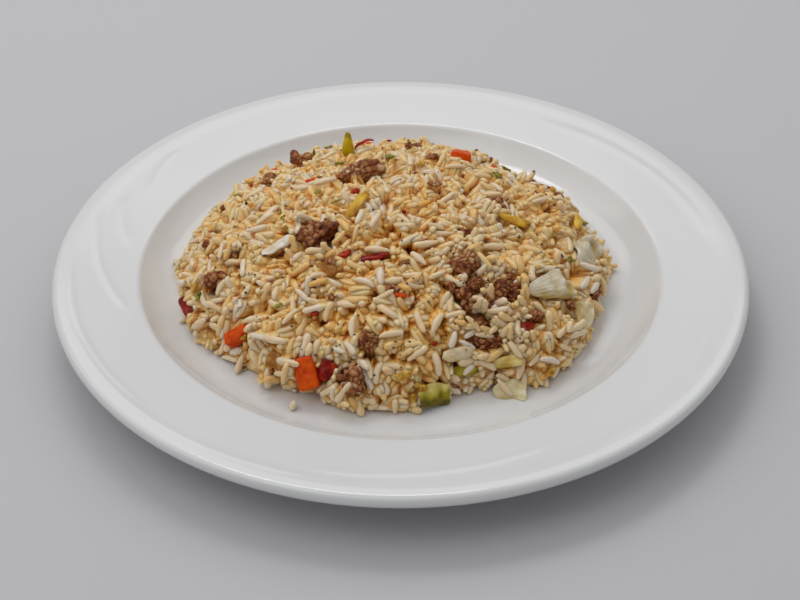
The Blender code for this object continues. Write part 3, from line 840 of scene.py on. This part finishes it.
MINCE_BITS = (  # tone, x, y, heading, length, width, thickness, lift
    (0.40, 27.6, -39.2, 20, 7.5, 5.5, 4.5, -0.3),
    (0.36, 31.0, -46.0, 60, 6.5, 5.0, 4.0, -0.8),
    (0.50, 19.4, -41.6, 80, 6.5, 4.5, 4.0, 0.0),
    (0.12, 31.4, -26.8, 10, 6.0, 4.0, 3.0, -0.4),
    (0.44, 29.6, -51.4, -10, 6.5, 5.0, 4.0, -0.6),
    (0.30, 24.6, -56.6, 10, 4.0, 3.4, 3.0, -0.8),
    (0.48, 49.6, -47.4, 15, 6.5, 4.2, 3.4, 0.2),
    (0.70, -53.2, 34.0, 40, 6.5, 4.0, 3.6, 0.8),
    (0.72, -3.1, -45.2, 0, 5.0, 3.6, 3.0, 0.0),
    (0.60, 0.9, -32.3, 30, 3.4, 2.4, 2.0, 0.4),
    (0.85, 13.0, 14.7, 20, 5.0, 3.6, 2.6, 0.6),
    (0.50, -25.7, -46.2, 70, 3.2, 2.6, 2.4, 0.5),
    (0.30, 3.1, 52.9, 60, 3.4, 2.6, 2.4, 0.8),
    (0.60, 13.1, 43.2, 0, 6.5, 3.0, 2.6, 0.6),
    (0.34, 24.2, -14.6, -20, 6.0, 3.2, 2.6, 0.0),
    (0.45, 19.7, -67.4, 10, 5.5, 3.6, 3.0, 0.0),
    (0.42, -62.6, -17.2, 0, 3.4, 2.6, 2.2, 0.4),
    (0.45, -75.7, -1.8, 60, 3.2, 2.2, 2.0, 0.5),
    (0.55, -18.2, -76.6, 20, 4.4, 2.8, 2.2, 1.0),
    (0.62, -26.1, -29.9, 80, 3.6, 2.6, 2.2, 0.4),
    (0.40, 24.2, 24.3, 50, 3.2, 2.2, 2.0, 0.7),
    (0.55, 63.9, -36.5, 10, 4.0, 2.6, 2.4, 0.3),
    (0.50, 40.5, -33.0, 30, 4.0, 3.0, 2.6, 0.0),
    (0.40, 8.0, 60.0, 40, 4.4, 3.2, 2.8, 0.5),
    (0.52, -38.0, 48.0, 10, 5.2, 3.8, 3.0, 0.5),
    (0.46, 38.0, 62.0, 70, 4.6, 3.4, 3.0, 0.3),
    (0.60, 64.0, 34.0, 20, 4.8, 3.2, 2.8, 0.4),
    (0.36, -70.0, 24.0, 90, 3.8, 3.0, 2.6, 0.4),
    (0.58, -22.0, 70.0, 0, 5.0, 3.6, 3.0, 0.3),
    (0.44, 0.0, 76.0, 30, 4.0, 3.0, 2.6, 0.2),
)


def crumb_points(block, granule, seed, rows=44, turns=72):
    """A ball stretched to its block and broken up: bays and knobs from slow waves, then
    granules, each a dome round the nearest of a scatter of seeds on the surface. With it,
    how near each point is to a granule's top, from 0 in a crease to 1."""
    rng = np.random.default_rng(seed)
    polar = np.linspace(0, math.pi, rows + 2)[1:-1][:, None]
    way = ball_way(np.arange(turns) * math.tau / turns, polar).reshape(-1, 3)
    way = np.concatenate([[(0, 0, 1)], way, [(0, 0, -1)]])
    body = way * block.half
    swell = 1 + 0.30 * np.tanh(ripple(body, 7.0, seed)) + 0.24 * np.tanh(ripple(body, 3.4, seed + 7))
    body = body * swell[:, None]
    a, b, c = block.half
    count = int(1.9 * 4 * ((a * b) ** 1.6 / 3 + (a * c) ** 1.6 / 3 + (b * c) ** 1.6 / 3) ** (1 / 1.6) * math.pi / granule**2 / 2)
    seeds = unit(rng.normal(size=(count, 3))) * block.half
    gap = np.linalg.norm(body[:, None] - seeds[None] * 0.97, axis=-1)
    gap.sort(axis=1)
    crease = np.clip((gap[:, 1] - gap[:, 0]) / (0.6 * granule), 0, 1)
    dome_and_shade = crease * (2 - crease)
    rise = granule * (0.46 * dome_and_shade - 0.20) + 0.16 * ripple(body, 0.9, seed + 13)
    local = body + unit(way / block.half) * rise[:, None]
    return block.world(local), ring_faces(rows, turns), dome_and_shade


def mince_finish():
    """Fried mince: near black in the creases to grey brown on the granules' tops, a painted
    shade and light by each point's dome_and_shade, mixed with each crumb's own tone."""
    paint = Finish("fried mince", Roughness=0.42, Coat_Weight=0.06, Subsurface_Weight=0.10, Subsurface_Scale=0.001)
    paint.shader.inputs["Specular IOR Level"].default_value = 0.2
    paint.shader.inputs["Coat Roughness"].default_value = 0.25
    uneven = paint.effect(mottle, Grain=500.0, Skin_grain=1500.0)
    # painted shade and light: darker in the granules' creases and paler on their tops
    tone = paint.times(paint.sum(paint.field("dome_and_shade"), paint.field("tone")), 0.50)
    tone = paint.sum(tone, paint.times(paint.sum(uneven["Spots"], -0.5), 0.7))
    paint.colour(
        tone,
        (0.12, (0.030, 0.003, 0.001)),
        (0.38, (0.185, 0.040, 0.006)),
        (0.66, (0.400, 0.155, 0.048)),
        (0.95, (0.620, 0.390, 0.220)),
    )
    return paint.relief(uneven["Skin"], 0.18)


mince_paint = mince_finish()


def make_mince():
    shapes = []
    for seed, (name, (tone, granule)) in enumerate(MINCE.items()):
        points, faces, dome_and_shade = crumb_points(blocks[name], granule, seed + 100)
        fields = {"dome_and_shade": dome_and_shade, "tone": np.full(len(points), tone)}
        piece = add_piece(name + "_crumb", points, faces, mince_paint, fields)
        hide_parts(name)
    for number, (tone, *row) in enumerate(MINCE_BITS):
        spot = Spot(*row)
        blocks[f"mince_bit_{number}"] = spot
        small = max(row[3:5]) < 4.5
        points, faces, dome_and_shade = crumb_points(spot, 1.2, number + 130, *((14, 20) if small else (22, 34)))
        shapes.append((points, faces, dome_and_shade, np.full(len(points), tone)))
    starts = np.cumsum([0] + [len(shape[0]) for shape in shapes[:-1]])
    faces = np.concatenate([shape[1] + start for shape, start in zip(shapes, starts)])
    points, dome_and_shade, tone = (np.concatenate([shape[k] for shape in shapes]) for k in (0, 2, 3))
    add_piece("mince_bits", points, faces, mince_paint, {"dome_and_shade": dome_and_shade, "tone": tone})


make_mince()

# --- The loose grains
# Boiled long-grain rice fried soft: 7 to 10 mm long and nearly 3 mm thick, blunt at the
# ends, some broken, stuck to one another as they fell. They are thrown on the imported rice
# and pushed apart until they only touch, and the named ones lie on top where they are put.

GRAIN_RADIUS = 1.50
CLUMPS = 600
TO_A_CLUMP = 8
PASTE_DEPTH = 0.60  # how far the starch between the grains lies below them
STUCK, LOOSE = 0.54, 0.84  # how close grains come, of one clump and of two, in radii

# grains lying on top: x, y, heading in degrees, length, white
TOP_GRAINS = np.array(
    [
        (-15.3, -9.1, 72, 9.6, 0.6), (-9.6, -10.0, 69, 9.6, 0.5), (-29.0, -8.4, 92, 8.7, 1), (-17.5, -58.8, 91, 9.6, 0.3),
        (-12.0, -72.6, -56, 9.3, 1), (-4.9, -54.2, -37, 9.6, 0.3), (-31.8, -52.0, 2, 8.1, 0.6), (-51.3, -55.5, -30, 9.6, 0.9),
        (-36.1, -43.7, 72, 7.3, 1), (-3.4, -62.4, 9, 9.6, 0.3), (-63.2, -14.3, -13, 9.6, 0.3), (-8.8, -24.5, -8, 9.6, 0.3),
        (39.6, 7.5, -67, 9.6, 1), (34.2, -20.5, 17, 9.6, 0.3), (29.5, -4.2, -62, 9.6, 0.5), (9.5, -23.1, 14, 9.6, 0.3),
        (54.9, -24.6, 26, 9.6, 0.4), (48.9, -30.2, 87, 8.0, 0.3), (6.8, -29.6, -47, 8.4, 0.5), (13.8, -38.0, 32, 7.7, 0.3),
        (26.0, -56.0, 41, 8.2, 1), (24.1, -60.1, -15, 7.5, 1), (60.2, -48.9, 52, 9.6, 0.3), (65.5, -45.5, 50, 9.6, 0.2),
        (65.9, -47.2, 44, 9.6, 0.3), (30.7, -57.1, 3, 8.0, 0.3), (49.4, -59.8, 50, 8.8, 0.3), (54.7, -59.6, 23, 9.6, 0.8),
        (24.6, -65.9, 39, 6.0, 0.7), (6.6, -75.7, 51, 6.5, 0.6), (-2.0, -78.2, 90, 6.0, 0.3), (-20.4, -77.0, 23, 9.6, 0.3),
        (-25.5, -74.3, 3, 8.4, 0.3), (-42.0, -68.0, -27, 9.4, 0.2), (-48.4, -64.5, 88, 7.6, 0.3), (-38.8, -10.4, 91, 9.6, 0.5),
        (-55.2, -6.3, -7, 9.5, 0.5), (-59.0, -25.8, 89, 9.2, 0.6), (-46.3, -39.2, 82, 6.6, 0.3), (6.5, -19.9, 20, 8.0, 0.3),
        (14.8, -16.3, 6, 9.6, 0.3), (7.0, -56.3, -68, 9.2, 0.3), (13.2, -57.2, 62, 9.1, 0.3), (19.0, -60.2, 72, 7.5, 0.8),
        (13.1, -67.9, -72, 8.7, 0.3), (37.6, -11.9, 42, 9.1, 0.3), (54.6, 14.1, 48, 9.6, 0.3), (-2.8, -42.6, 9, 8.0, 0.3),
        (4.2, -37.1, 9, 8.2, 0.3), (73.8, -22.0, 66, 9.6, 0.9), (69.9, -23.8, 65, 9.6, 1), (36.8, -32.0, 62, 8.8, 0.3),
        (43.8, -35.8, 41, 5.3, 0.7), (60.6, -14.5, -30, 6.8, 0.3), (64.7, -5.9, -84, 9.6, 0.3), (-17.4, -75.7, -18, 8.2, 0.3),
        (-20.2, -48.5, -16, 8.3, 0.3), (-13.0, -41.6, -28, 9.6, 0.5), (20.0, -40.5, -27, 8.3, 0.3), (-40.2, -52.6, 36, 8.7, 0.3),
        (-39.3, -46.0, 87, 7.7, 0.3), (-57.4, -36.1, 55, 6.0, 0.3), (-66.9, -29.1, 53, 9.0, 0.3), (-69.9, -33.0, -20, 9.2, 0.3),
        (-54.7, -46.2, -14, 9.6, 0.3), (-34.5, -62.0, 69, 9.4, 0.4), (-30.8, -63.8, 75, 8.6, 0.3), (-45.6, -59.5, -28, 9.6, 0.3),
        (-63.5, -50.0, -42, 9.6, 0.3), (-59.4, -54.2, 60, 7.9, 0.3), (-40.7, -66.6, -26, 9.4, 0.3), (38.1, -64.3, 9, 8.8, 0.3),
        (43.6, -63.0, 69, 8.3, 0.3), (38.0, -68.1, -23, 9.6, 0.3), (31.5, -63.8, 0, 8.1, 0.3), (21.5, -62.9, 28, 9.6, 0.3),
        (27.2, -45.5, 21, 5.3, 0.3), (3.2, -20.6, 35, 9.6, 0.3), (37.8, 18.8, -46, 7.2, 0.3), (-14.4, 50.2, 41, 9.6, 0.3),
        (-7.4, 43.0, -78, 9.6, 0.3), (21.7, 31.9, 20, 9.6, 0.3), (3.8, 34.9, -87, 9.6, 0.3), (-19.9, 25.7, -25, 9.6, 0.3),
        (-39.5, 21.0, -24, 9.6, 0.3), (-29.5, 19.0, 13, 9.4, 0.3), (-52.1, 0.9, 32, 8.7, 0.3), (-50.4, 5.2, 51, 9.6, 0.3),
        (-73.5, -30.9, -64, 9.6, 0.3), (-72.7, -13.9, 85, 9.6, 0.3), (-68.1, -11.5, 77, 9.6, 0.3), (-75.7, -36.8, -33, 9.6, 0.3),
        (-88.6, 9.2, -56, 9.6, 0.3), (-84.5, -13.8, -62, 8.1, 0.9), (-38.8, -75.9, 50, 3.4, 0.5),
        (45.0, -64.6, 84, 9.0, 0.4),
    ]
)


def throw_grains(rng):
    """Middles, half lengths, directions and clumps of grains thrown in small clumps into the
    shell over the core, the clumps sunk or raised by chance and the grains at any tilt."""
    way = ball_way(rng.uniform(0, math.tau, 9000), np.arcsin(np.sqrt(rng.uniform(0, 1, 9000)) ** 0.6))
    spread = way * 60 / STRETCH + [0, 0, WELL]
    for _ in range(10):
        spread = spread - way / STRETCH * (level_of(spread) + 1.5)[:, None]
    # each next clump is the thrown place farthest from all those before it
    heart = np.zeros((CLUMPS, 3))
    far = np.full(len(spread), np.inf)
    for number in range(CLUMPS):
        heart[number] = spread[np.argmax(far)]
        far = np.minimum(far, ((spread - heart[number]) ** 2).sum(axis=1))
    heart += outward(heart) * rng.uniform(-2.1, 2.2, (CLUMPS, 1))
    clump = np.repeat(np.arange(CLUMPS), TO_A_CLUMP)
    count = len(clump)
    middle = heart[clump] + rng.normal(scale=2.3, size=(count, 3))
    half = rng.uniform(2.0, 3.1, count)
    half = np.where(rng.random(count) < 0.36, rng.uniform(0.25, 1.6, count), half)
    lying = unit(np.cross(outward(middle), rng.normal(size=(count, 3))))
    along = unit(lying + outward(middle) * rng.normal(scale=0.95, size=(count, 1)))
    return middle, half, along, clump


def closest(a, b, i, j):
    """Where segments i and j come closest: the share along each, and the gap between."""
    d1, d2, r = b[i] - a[i], b[j] - a[j], a[i] - a[j]
    aa, ee = (d1 * d1).sum(1), (d2 * d2).sum(1)
    f, c, bb = (d2 * r).sum(1), (d1 * r).sum(1), (d1 * d2).sum(1)
    s = np.clip((bb * f - c * ee) / np.maximum(aa * ee - bb * bb, 1e-6), 0, 1)
    t = np.clip((bb * s + f) / ee, 0, 1)
    s = np.clip((bb * t - c) / aa, 0, 1)
    return s, t, r + d1 * s[:, None] - d2 * t[:, None]


def near_pairs(middle, size):
    """Pairs of grains near enough to touch soon."""
    pairs = []
    for start in range(0, len(middle), 500):
        gap = middle[start : start + 500, None] - middle[None]
        i, j = np.nonzero((gap * gap).sum(-1) < (size[start : start + 500, None] + size[None]) ** 2)
        keep = i + start < j
        pairs.append(np.stack([i[keep] + start, j[keep]]))
    return np.concatenate(pairs, axis=1)


def keep_clear(points, radius, free):
    """Move points aside from the pieces that lie in the rice, or down below them."""
    for block in blocks.values():
        if block.axes[2, 2] < 0.25:  # it stands upright, and grains may lean on it
            continue
        near = np.nonzero(((points - block.middle) ** 2).sum(1) < (block.half.max() + 6) ** 2)[0]
        local = (points[near] - block.middle) @ block.axes.T
        size = block.half[:2] * 1.0 + 0.6 * radius[near][:, None]
        share = ((np.abs(local[:, :2]) / size) ** 3.5).sum(axis=1) ** (1 / 3.5)
        under = block.half[2] + radius[near]
        inside = (share < 1) & (local[:, 2] > -under) & free[near]
        aside = (1 / np.maximum(share, 0.05) - 1) * np.hypot(local[:, 0], local[:, 1])
        down = local[:, 2] + under
        go_down, go_aside = inside & (down < aside), inside & (down >= aside)
        local[go_down, 2] -= 0.5 * down[go_down]
        local[go_aside, :2] *= (1 + 0.5 * (1 / np.maximum(share[go_aside], 0.05) - 1))[:, None]
        points[near] = block.world(local)


def settle(middle, half, along, radius, clump, free, rounds):
    """Let the grains sink to the core and push each other apart, those of one clump less.
    Each is a rod with round ends, moved by its two ends: a touch moves the nearer the more."""
    a, b = middle - along * half[:, None], middle + along * half[:, None]
    for turn in range(rounds):
        if turn % 6 == 0:
            i, j = near_pairs((a + b) / 2, half + radius + 0.8)
            touch = np.where(clump[i] == clump[j], STUCK, LOOSE) * (radius[i] + radius[j])
            many = np.bincount(clump)[:, None]
        centre = (a + b) / 2
        heart = np.stack([np.bincount(clump, centre[:, axis]) for axis in range(3)], axis=-1) / many
        pull = (0.01 + 0.08 * (1 - turn / rounds)) * outward(centre) + 0.015 * (centre - heart[clump])
        a, b = a - pull * free[:, None], b - pull * free[:, None]
        s, t, gap = closest(a, b, i, j)
        distance = np.maximum(np.linalg.norm(gap, axis=1), 1e-4)
        over = touch - distance
        hit = over > 0
        hi, hj, s, t = i[hit], j[hit], s[hit], t[hit]
        push = gap[hit] / distance[hit, None] * (0.45 * over[hit])[:, None]
        weight = (1 - s) ** 2 + s**2 + (1 - t) ** 2 + t**2
        for ends, share, who in ((a, 1 - s, hi), (b, s, hi), (a, t - 1, hj), (b, -t, hj)):
            move = push * (share / weight * free[who])[:, None]
            for axis in range(3):
                ends[:, axis] += np.bincount(who, move[:, axis], len(ends))
        for ends in (a, b):
            sunk = np.minimum(level_of(ends) + CORE_DEPTH - radius, 0)
            ends -= outward(ends) * (sunk * free)[:, None]
            ends[:, 2] = np.maximum(ends[:, 2], WELL + radius)
            keep_clear(ends, radius, free)
        for share in (0.25, 0.5, 0.75):
            inner = a + (b - a) * share
            moved = inner.copy()
            keep_clear(moved, radius, free)
            a, b = a + moved - inner, b + moved - inner
        centre = (a + b) / 2
        along = unit(b - a)
        a, b = centre - along * half[:, None], centre + along * half[:, None]
    return (a + b) / 2, along


def place_top_grains():
    """The named grains, each along the surface at its place, just proud of it."""
    x, y, heading, length, _ = TOP_GRAINS.T
    middle = np.stack([x, y, np.full_like(x, WELL + 30.0)], axis=-1)
    for _ in range(40):
        out = outward(middle)
        middle[:, 2] -= 0.6 * (level_of(middle) - 0.9) / np.maximum(out[:, 2], 0.3)
        middle[:, 2] = np.maximum(middle[:, 2], WELL + GRAIN_RADIUS)
    out = outward(middle)
    heading = np.radians(heading)
    flat = np.stack([np.cos(heading), np.sin(heading), 0 * x], axis=-1)
    flat[:, 2] = -(flat * out)[:, :2].sum(1) / np.maximum(out[:, 2], 0.35)
    return middle, np.minimum(length, 10.4) / 2 - GRAIN_RADIUS, unit(flat)


def grain_form():
    """A grain 2 long, 2 wide and 1.7 thick: a pole, seven rings of seven points and a pole.
    Its width falls off to the ends as (1 - |x|^3)^0.45, which leaves them blunt."""
    x = np.array([-0.97, -0.84, -0.55, -0.05, 0.48, 0.82, 0.96])
    wide = (1 - np.abs(x) ** 3.0) ** 0.45
    turn = np.arange(7) * math.tau / 7
    ring = np.stack([x[:, None] + 0 * turn, wide[:, None] * np.cos(turn), wide[:, None] * np.sin(turn) * 0.86], axis=-1)
    return np.concatenate([[(-1, 0, 0)], ring.reshape(-1, 3), [(1, 0, 0)]]), ring_faces(len(x), 7)[:, ::-1]


def grain_points(middle, half, along, radius, rng):
    """Every grain's points: the one form, sized, tapered, bent, swollen and turned."""
    form = grain_form()[0]
    count = len(middle)
    side = unit(np.cross(outward(middle), along) + rng.normal(scale=0.5, size=(count, 3)))
    side = unit(side - (side * along).sum(1)[:, None] * along)
    up = np.cross(along, side)
    x = form[None, :, 0]
    swell = 1 + rng.uniform(-0.20, 0.20, (count, 1)) * x + rng.normal(scale=0.10, size=(count, 1)) * np.cos(5 * x)
    swell = swell + rng.normal(scale=0.075, size=(count, len(form)))
    bend = rng.normal(scale=0.42, size=(count, 2, 1)) * (x * x - 0.35) * (half / 3)[:, None, None] ** 1.5
    wide = radius[:, None] * rng.uniform(0.94, 1.10, (count, 1)) * swell
    lx = x * (half + radius)[:, None]
    ly = form[None, :, 1] * wide + bend[:, 0]
    lz = form[None, :, 2] * wide + 0.5 * bend[:, 1]
    return middle[:, None] + lx[..., None] * along[:, None] + ly[..., None] * side[:, None] + lz[..., None] * up[:, None]


def rice_finish():
    """Moist boiled rice: golden to chalky white by each point's tint, cloudy and wet. The tint
    holds each grain's own tone, and is more golden and darker where a point lies deep among
    the grains, partly the sauce's stain and partly painted shade, and paler where it stands
    proud, a painted light."""
    paint = Finish("fried rice grain", Roughness=0.30, Subsurface_Weight=1.0, Subsurface_Scale=0.0018, Coat_Weight=0.25)
    paint.shader.inputs["Subsurface Radius"].default_value = (0.75, 0.88, 1.0)
    paint.shader.inputs["Coat Roughness"].default_value = 0.10
    paint.shader.inputs["Specular IOR Level"].default_value = 0.3
    uneven = paint.effect(mottle, Grain=380.0, Skin_grain=700.0)
    tint = paint.sum(paint.field("tint"), paint.times(paint.sum(uneven["Spots"], -0.5), 0.30))
    paint.colour(
        tint,
        (0.04, (0.17, 0.028, 0.001)),
        (0.22, (0.51, 0.160, 0.008)),
        (0.42, (0.81, 0.435, 0.092)),
        (0.62, (0.85, 0.595, 0.265)),
        (0.96, (0.785, 0.680, 0.550)),
    )
    return paint.relief(uneven["Skin"], 0.14)


NET = 281  # points along each side of the net laid over the heap


def net_way():
    """The way out of the half ball at each point of a square net: its rings are squares,
    and a point's place along the side of its square is its place along that quarter."""
    u, v = np.meshgrid(np.linspace(-1, 1, NET), np.linspace(-1, 1, NET))
    quarter = np.round(np.arctan2(v, u) / (math.pi / 2)) * math.pi / 2
    ring = u * np.cos(quarter) + v * np.sin(quarter)
    along = v * np.cos(quarter) - u * np.sin(quarter)
    return ball_way(quarter + math.pi / 4 * along / np.maximum(ring, 1e-9), ring * math.pi / 2)


def read_net(values, points):
    """The net's value at the way out from the heap's middle to each of these points."""
    q = (points - [0, 0, WELL]) * STRETCH
    ring = np.arccos(np.clip(q[..., 2] / np.linalg.norm(q, axis=-1), 0, 1)) / (math.pi / 2)
    turn = np.arctan2(q[..., 1], q[..., 0])
    quarter = np.round(turn / (math.pi / 2)) * math.pi / 2
    along = ring * (turn - quarter) * 4 / math.pi
    u = (ring * np.cos(quarter) - along * np.sin(quarter) + 1) / 2 * (NET - 1.001)
    v = (ring * np.sin(quarter) + along * np.cos(quarter) + 1) / 2 * (NET - 1.001)
    i, j = np.floor(v).astype(int), np.floor(u).astype(int)
    p, q = v - i, u - j
    near = (1 - q) * values[i, j] + q * values[i, j + 1]
    return (1 - p) * near + p * ((1 - q) * values[i + 1, j] + q * values[i + 1, j + 1])


def cast_net(tree):
    """The net's points on the heap's smooth surface, the way out of each, and the level of
    the grains there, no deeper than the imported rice."""
    way = net_way()
    points = way * 60 / STRETCH + [0, 0, WELL]
    for _ in range(10):
        points = points - way / STRETCH * level_of(points)[..., None]
    straight = unit(way / STRETCH)
    start = (points + 9 * straight).reshape(-1, 3)
    hits = [tree.ray_cast(p, w, 18)[0] or (0, 0, WELL + 1) for p, w in zip(start, -straight.reshape(-1, 3))]
    level = level_of(np.array(hits).reshape(points.shape))
    return points, way, np.where(level < 2.7, np.maximum(level, -CORE_DEPTH), -CORE_DEPTH)


def roll_ball(points, height, radius):
    """Fill what a ball of this radius, rolled over the heights, can't reach: the highest
    place of the ball's middle over each point, then the lowest the ball lets it be."""
    shifts = [(i, j) for i in range(-4, 5) for j in range(-4, 5)]
    for sign in (1, -1):
        best = np.full(height.shape, -np.inf)
        for shift in shifts:
            gap = ((points - np.roll(points, shift, axis=(0, 1))) ** 2).sum(axis=-1)
            cap = np.sqrt(np.maximum(radius**2 - gap, 0)) - radius
            best = np.maximum(best, np.where(gap < radius**2, sign * np.roll(height, shift, axis=(0, 1)) + cap, -np.inf))
        height = sign * best
    return height


def soften(values, times):
    """Each value averaged with those round it in the net, this many times over."""
    for _ in range(times):
        for axis in (0, 1):
            values = 0.5 * values + 0.25 * (np.roll(values, 1, axis) + np.roll(values, -1, axis))
    return values


def make_paste(points, way, level, filled, paint):
    """The starch that joins the grains of a clump: their own heights with the narrow grooves
    filled as a rolled ball leaves them, a little lower, so that the grains stand out."""
    height = np.maximum(filled - PASTE_DEPTH, -CORE_DEPTH)
    skin = points
    for _ in range(10):
        skin = skin - way / STRETCH * (level_of(skin) - height)[..., None]
    skin[..., 2] = np.maximum(skin[..., 2], WELL + 0.1)
    groove = np.clip(filled - level, 0, 3)
    # painted shade: the tint is darker and more golden in the grooves between grains and in hollows below the softened
    # surface
    tint = 0.60 - 0.15 * groove + 0.06 * ripple(skin, 12.0, 8) + 0.16 * np.clip(filled - soften(filled, 60) + 0.5, -3.5, 0)
    n = np.arange(NET * NET).reshape(NET, NET)
    sides = np.stack([n[:-1, :-1], n[:-1, 1:], n[1:, 1:], n[1:, :-1]], axis=-1).reshape(-1, 4)
    rim = np.concatenate([n[0, :-1], n[:-1, -1], n[-1, :0:-1], n[:0:-1, 0]])
    foot = np.stack([np.roll(rim, -1), rim, 0 * rim + NET * NET, 0 * rim + NET * NET], axis=-1)
    skin = np.concatenate([skin.reshape(-1, 3), [(0, 0, WELL + 0.05)]])
    tint = np.clip(np.append(tint.ravel(), 0.3), 0, 1)
    add_piece("rice_paste", skin, np.concatenate([sides, foot]), paint, {"tint": tint})


def make_rice():
    """The named grains first, then the thrown ones, in three kinds by their tint."""
    rng = np.random.default_rng(11)
    middle, half, along, clump = throw_grains(rng)
    top_middle, top_half, top_along = place_top_grains()
    named = len(top_middle)
    middle = np.concatenate([top_middle, middle])
    half = np.concatenate([np.maximum(top_half, 0.6), half])
    along = np.concatenate([top_along, along])
    clump = np.concatenate([CLUMPS + np.arange(named), clump])
    count = len(middle)
    radius = GRAIN_RADIUS * rng.uniform(0.78, 1.06, count)
    free = np.arange(count) >= named
    middle, along = settle(middle, half, along, radius, clump, free, 80)
    tint = 0.60 + rng.normal(0, 0.08, count) + 0.05 * ripple(middle, 22.0, 8) + 0.04 * ripple(middle, 8.0, 9)
    tint[:named] = 0.60 + 0.32 * TOP_GRAINS[:, 4]
    points = grain_points(middle, half, along, radius, rng)
    per, faces = points.shape[1], grain_form()[1]
    every = (faces[None] + (np.arange(count) * per)[:, None, None]).reshape(-1, 4)
    tree = BVHTree.FromPolygons(points.reshape(-1, 3), every.tolist())
    places, way, level = cast_net(tree)
    filled = roll_ball(places, level, 1.2)
    rise = level_of(points) - read_net(soften(filled, 60), points)
    # painted shade and light: points below the grains' softened surface turn darker and more golden, partly the sauce's
    # stain and partly painted shade, and points above it turn paler, a painted light
    tints = np.clip(tint[:, None] + 0.17 * np.clip(rise + 0.3, -3.5, 0.6), 0, 1)
    kinds = np.digitize(tint, np.quantile(tint, [1 / 3, 2 / 3]))
    paint = rice_finish()
    for kind, name in enumerate(("rice_golden", "rice_cream", "rice_white")):
        chosen = np.nonzero(kinds == kind)[0]
        each = (faces[None] + (np.arange(len(chosen)) * per)[:, None, None]).reshape(-1, 4)
        add_piece(name, points[chosen].reshape(-1, 3), each, paint, {"tint": tints[chosen].ravel()})
    make_paste(places, way, level, filled, paint)
    return tree


grains = make_rice()

# --- Pepper and crumbs
# Coarse black pepper, cracked to under a millimetre, stuck to the wet grains wherever it
# fell, with a few brown crumbs from the pan and two scraps of rice loose on the plate.

PEPPERCORNS = np.array(  # x, y and width of the ones that show most
    [
        (-70.6, -15.7, 1.3), (-59.5, -38.7, 1.4), (-59.6, -36.3, 1.1), (-50.9, -36.1, 1.3), (-53.5, -38.2, 1.1), (-60.9, 9.7, 1.6),
        (-37.7, 0.1, 1.8), (-56.1, -30.8, 1.1), (-56.6, -21.8, 0.9), (-73.2, -6.7, 0.9), (-78.0, 9.7, 0.9), (-65.4, -5.0, 0.9),
        (-60.9, -7.1, 0.9), (-71.3, 12.5, 0.9), (-32.4, -42.0, 1.2), (-61.6, -45.9, 0.9), (-54.9, -51.0, 0.9), (-41.1, -57.9, 0.9),
        (-24.7, -61.7, 0.9), (-17.4, -64.6, 0.9), (-23.9, -67.7, 0.9), (-51.8, -61.4, 0.9), (-2.7, -69.8, 1.3), (-16.3, -69.7, 0.9),
        (-10.9, -1.2, 1.3), (-15.6, -36.6, 0.9), (-9.9, -77.4, 0.9), (-45.7, -34.0, 0.9), (2.1, 19.3, 0.9), (4.0, 9.4, 0.9),
        (0.6, -11.7, 0.9), (19.1, 10.2, 0.9), (29.8, 4.3, 0.9), (24.4, -20.1, 0.9), (27.6, -25.4, 0.9), (26.2, -39.0, 0.9),
        (61.6, -12.3, 1.5), (61.1, -25.6, 2.2), (56.1, -12.2, 0.9), (60.3, 14.9, 0.9), (42.0, -59.2, 0.9), (40.9, -61.4, 0.9),
        (52.6, -47.9, 0.9), (3.4, -67.5, 0.9), (57.7, -57.0, 0.9), (78.8, 6.2, 0.9), (10.7, 44.4, 0.9), (32.8, 47.4, 0.9),
    ]
)


def drop_on(x, y):
    """Where a thing dropped on the grains from outside lands, and the way out there."""
    start = Spot(x, y, 0.0, 1.0, 1.0, 1.0, 8.0).middle
    out = outward(start[None])[0]
    hit, normal, _, _ = grains.ray_cast(start, -out)
    if hit is None:
        return Spot(x, y, 0.0, 1.0, 1.0, 1.0, 0.0).middle, out
    return np.array(hit), np.array(normal)


def make_specks(name, rows, material, seed):
    """Cracked bits: balls of four rings of six points, stretched, knocked out of shape and
    set into the grain they fell on."""
    rng = np.random.default_rng(seed)
    polar = np.linspace(0, math.pi, 6)[1:-1][:, None]
    ball = ball_way(np.arange(6) * math.tau / 6, polar).reshape(-1, 3)
    ball = np.concatenate([[(0, 0, 1)], ball, [(0, 0, -1)]])
    skins = []
    for x, y, width in rows:
        place, out = drop_on(x, y)
        along = unit(np.cross(out, rng.normal(size=3)))
        axes = np.stack([along, np.cross(out, along), out])
        local = ball * width / 2 * rng.uniform(0.6, 1.15, 3) * [1, 1, 0.8]
        local = local * (1 + 0.22 * rng.normal(size=(len(ball), 1)))
        skins.append(local @ axes + place + out * 0.05 * width)
    faces = ring_faces(4, 6)[None] + (np.arange(len(rows)) * len(ball))[:, None, None]
    return add_piece(name, np.concatenate(skins), faces.reshape(-1, 4), material)


def scatter_rows(rng, count, small, large):
    """Places all over the heap, and widths."""
    turn, out = rng.uniform(0, math.tau, count), 78 * np.sqrt(rng.uniform(0, 1, count))
    return np.stack([out * np.cos(turn), out * np.sin(turn), rng.uniform(small, large, count)], axis=-1)


def make_pepper():
    rng = np.random.default_rng(23)
    black = Finish("cracked pepper", Roughness=0.55)
    uneven = black.effect(mottle, Grain=2200.0, Skin_grain=3000.0)
    black.colour(uneven["Spots"], (0.4, (0.008, 0.006, 0.005)), (0.75, (0.060, 0.038, 0.022)))
    material = black.relief(uneven["Skin"], 0.10)
    rows = np.concatenate([PEPPERCORNS, scatter_rows(rng, 130, 0.45, 0.95)])
    make_specks("pepper_specks", rows, material, 24)
    brown = Finish("pan crumbs", Roughness=0.5)
    uneven = brown.effect(mottle, Grain=1500.0, Skin_grain=2400.0)
    brown.colour(uneven["Spots"], (0.35, (0.13, 0.035, 0.008)), (0.7, (0.40, 0.17, 0.05)))
    material = brown.relief(uneven["Skin"], 0.10)
    make_specks("pan_crumbs", scatter_rows(rng, 190, 0.6, 1.6), material, 25)


make_pepper()
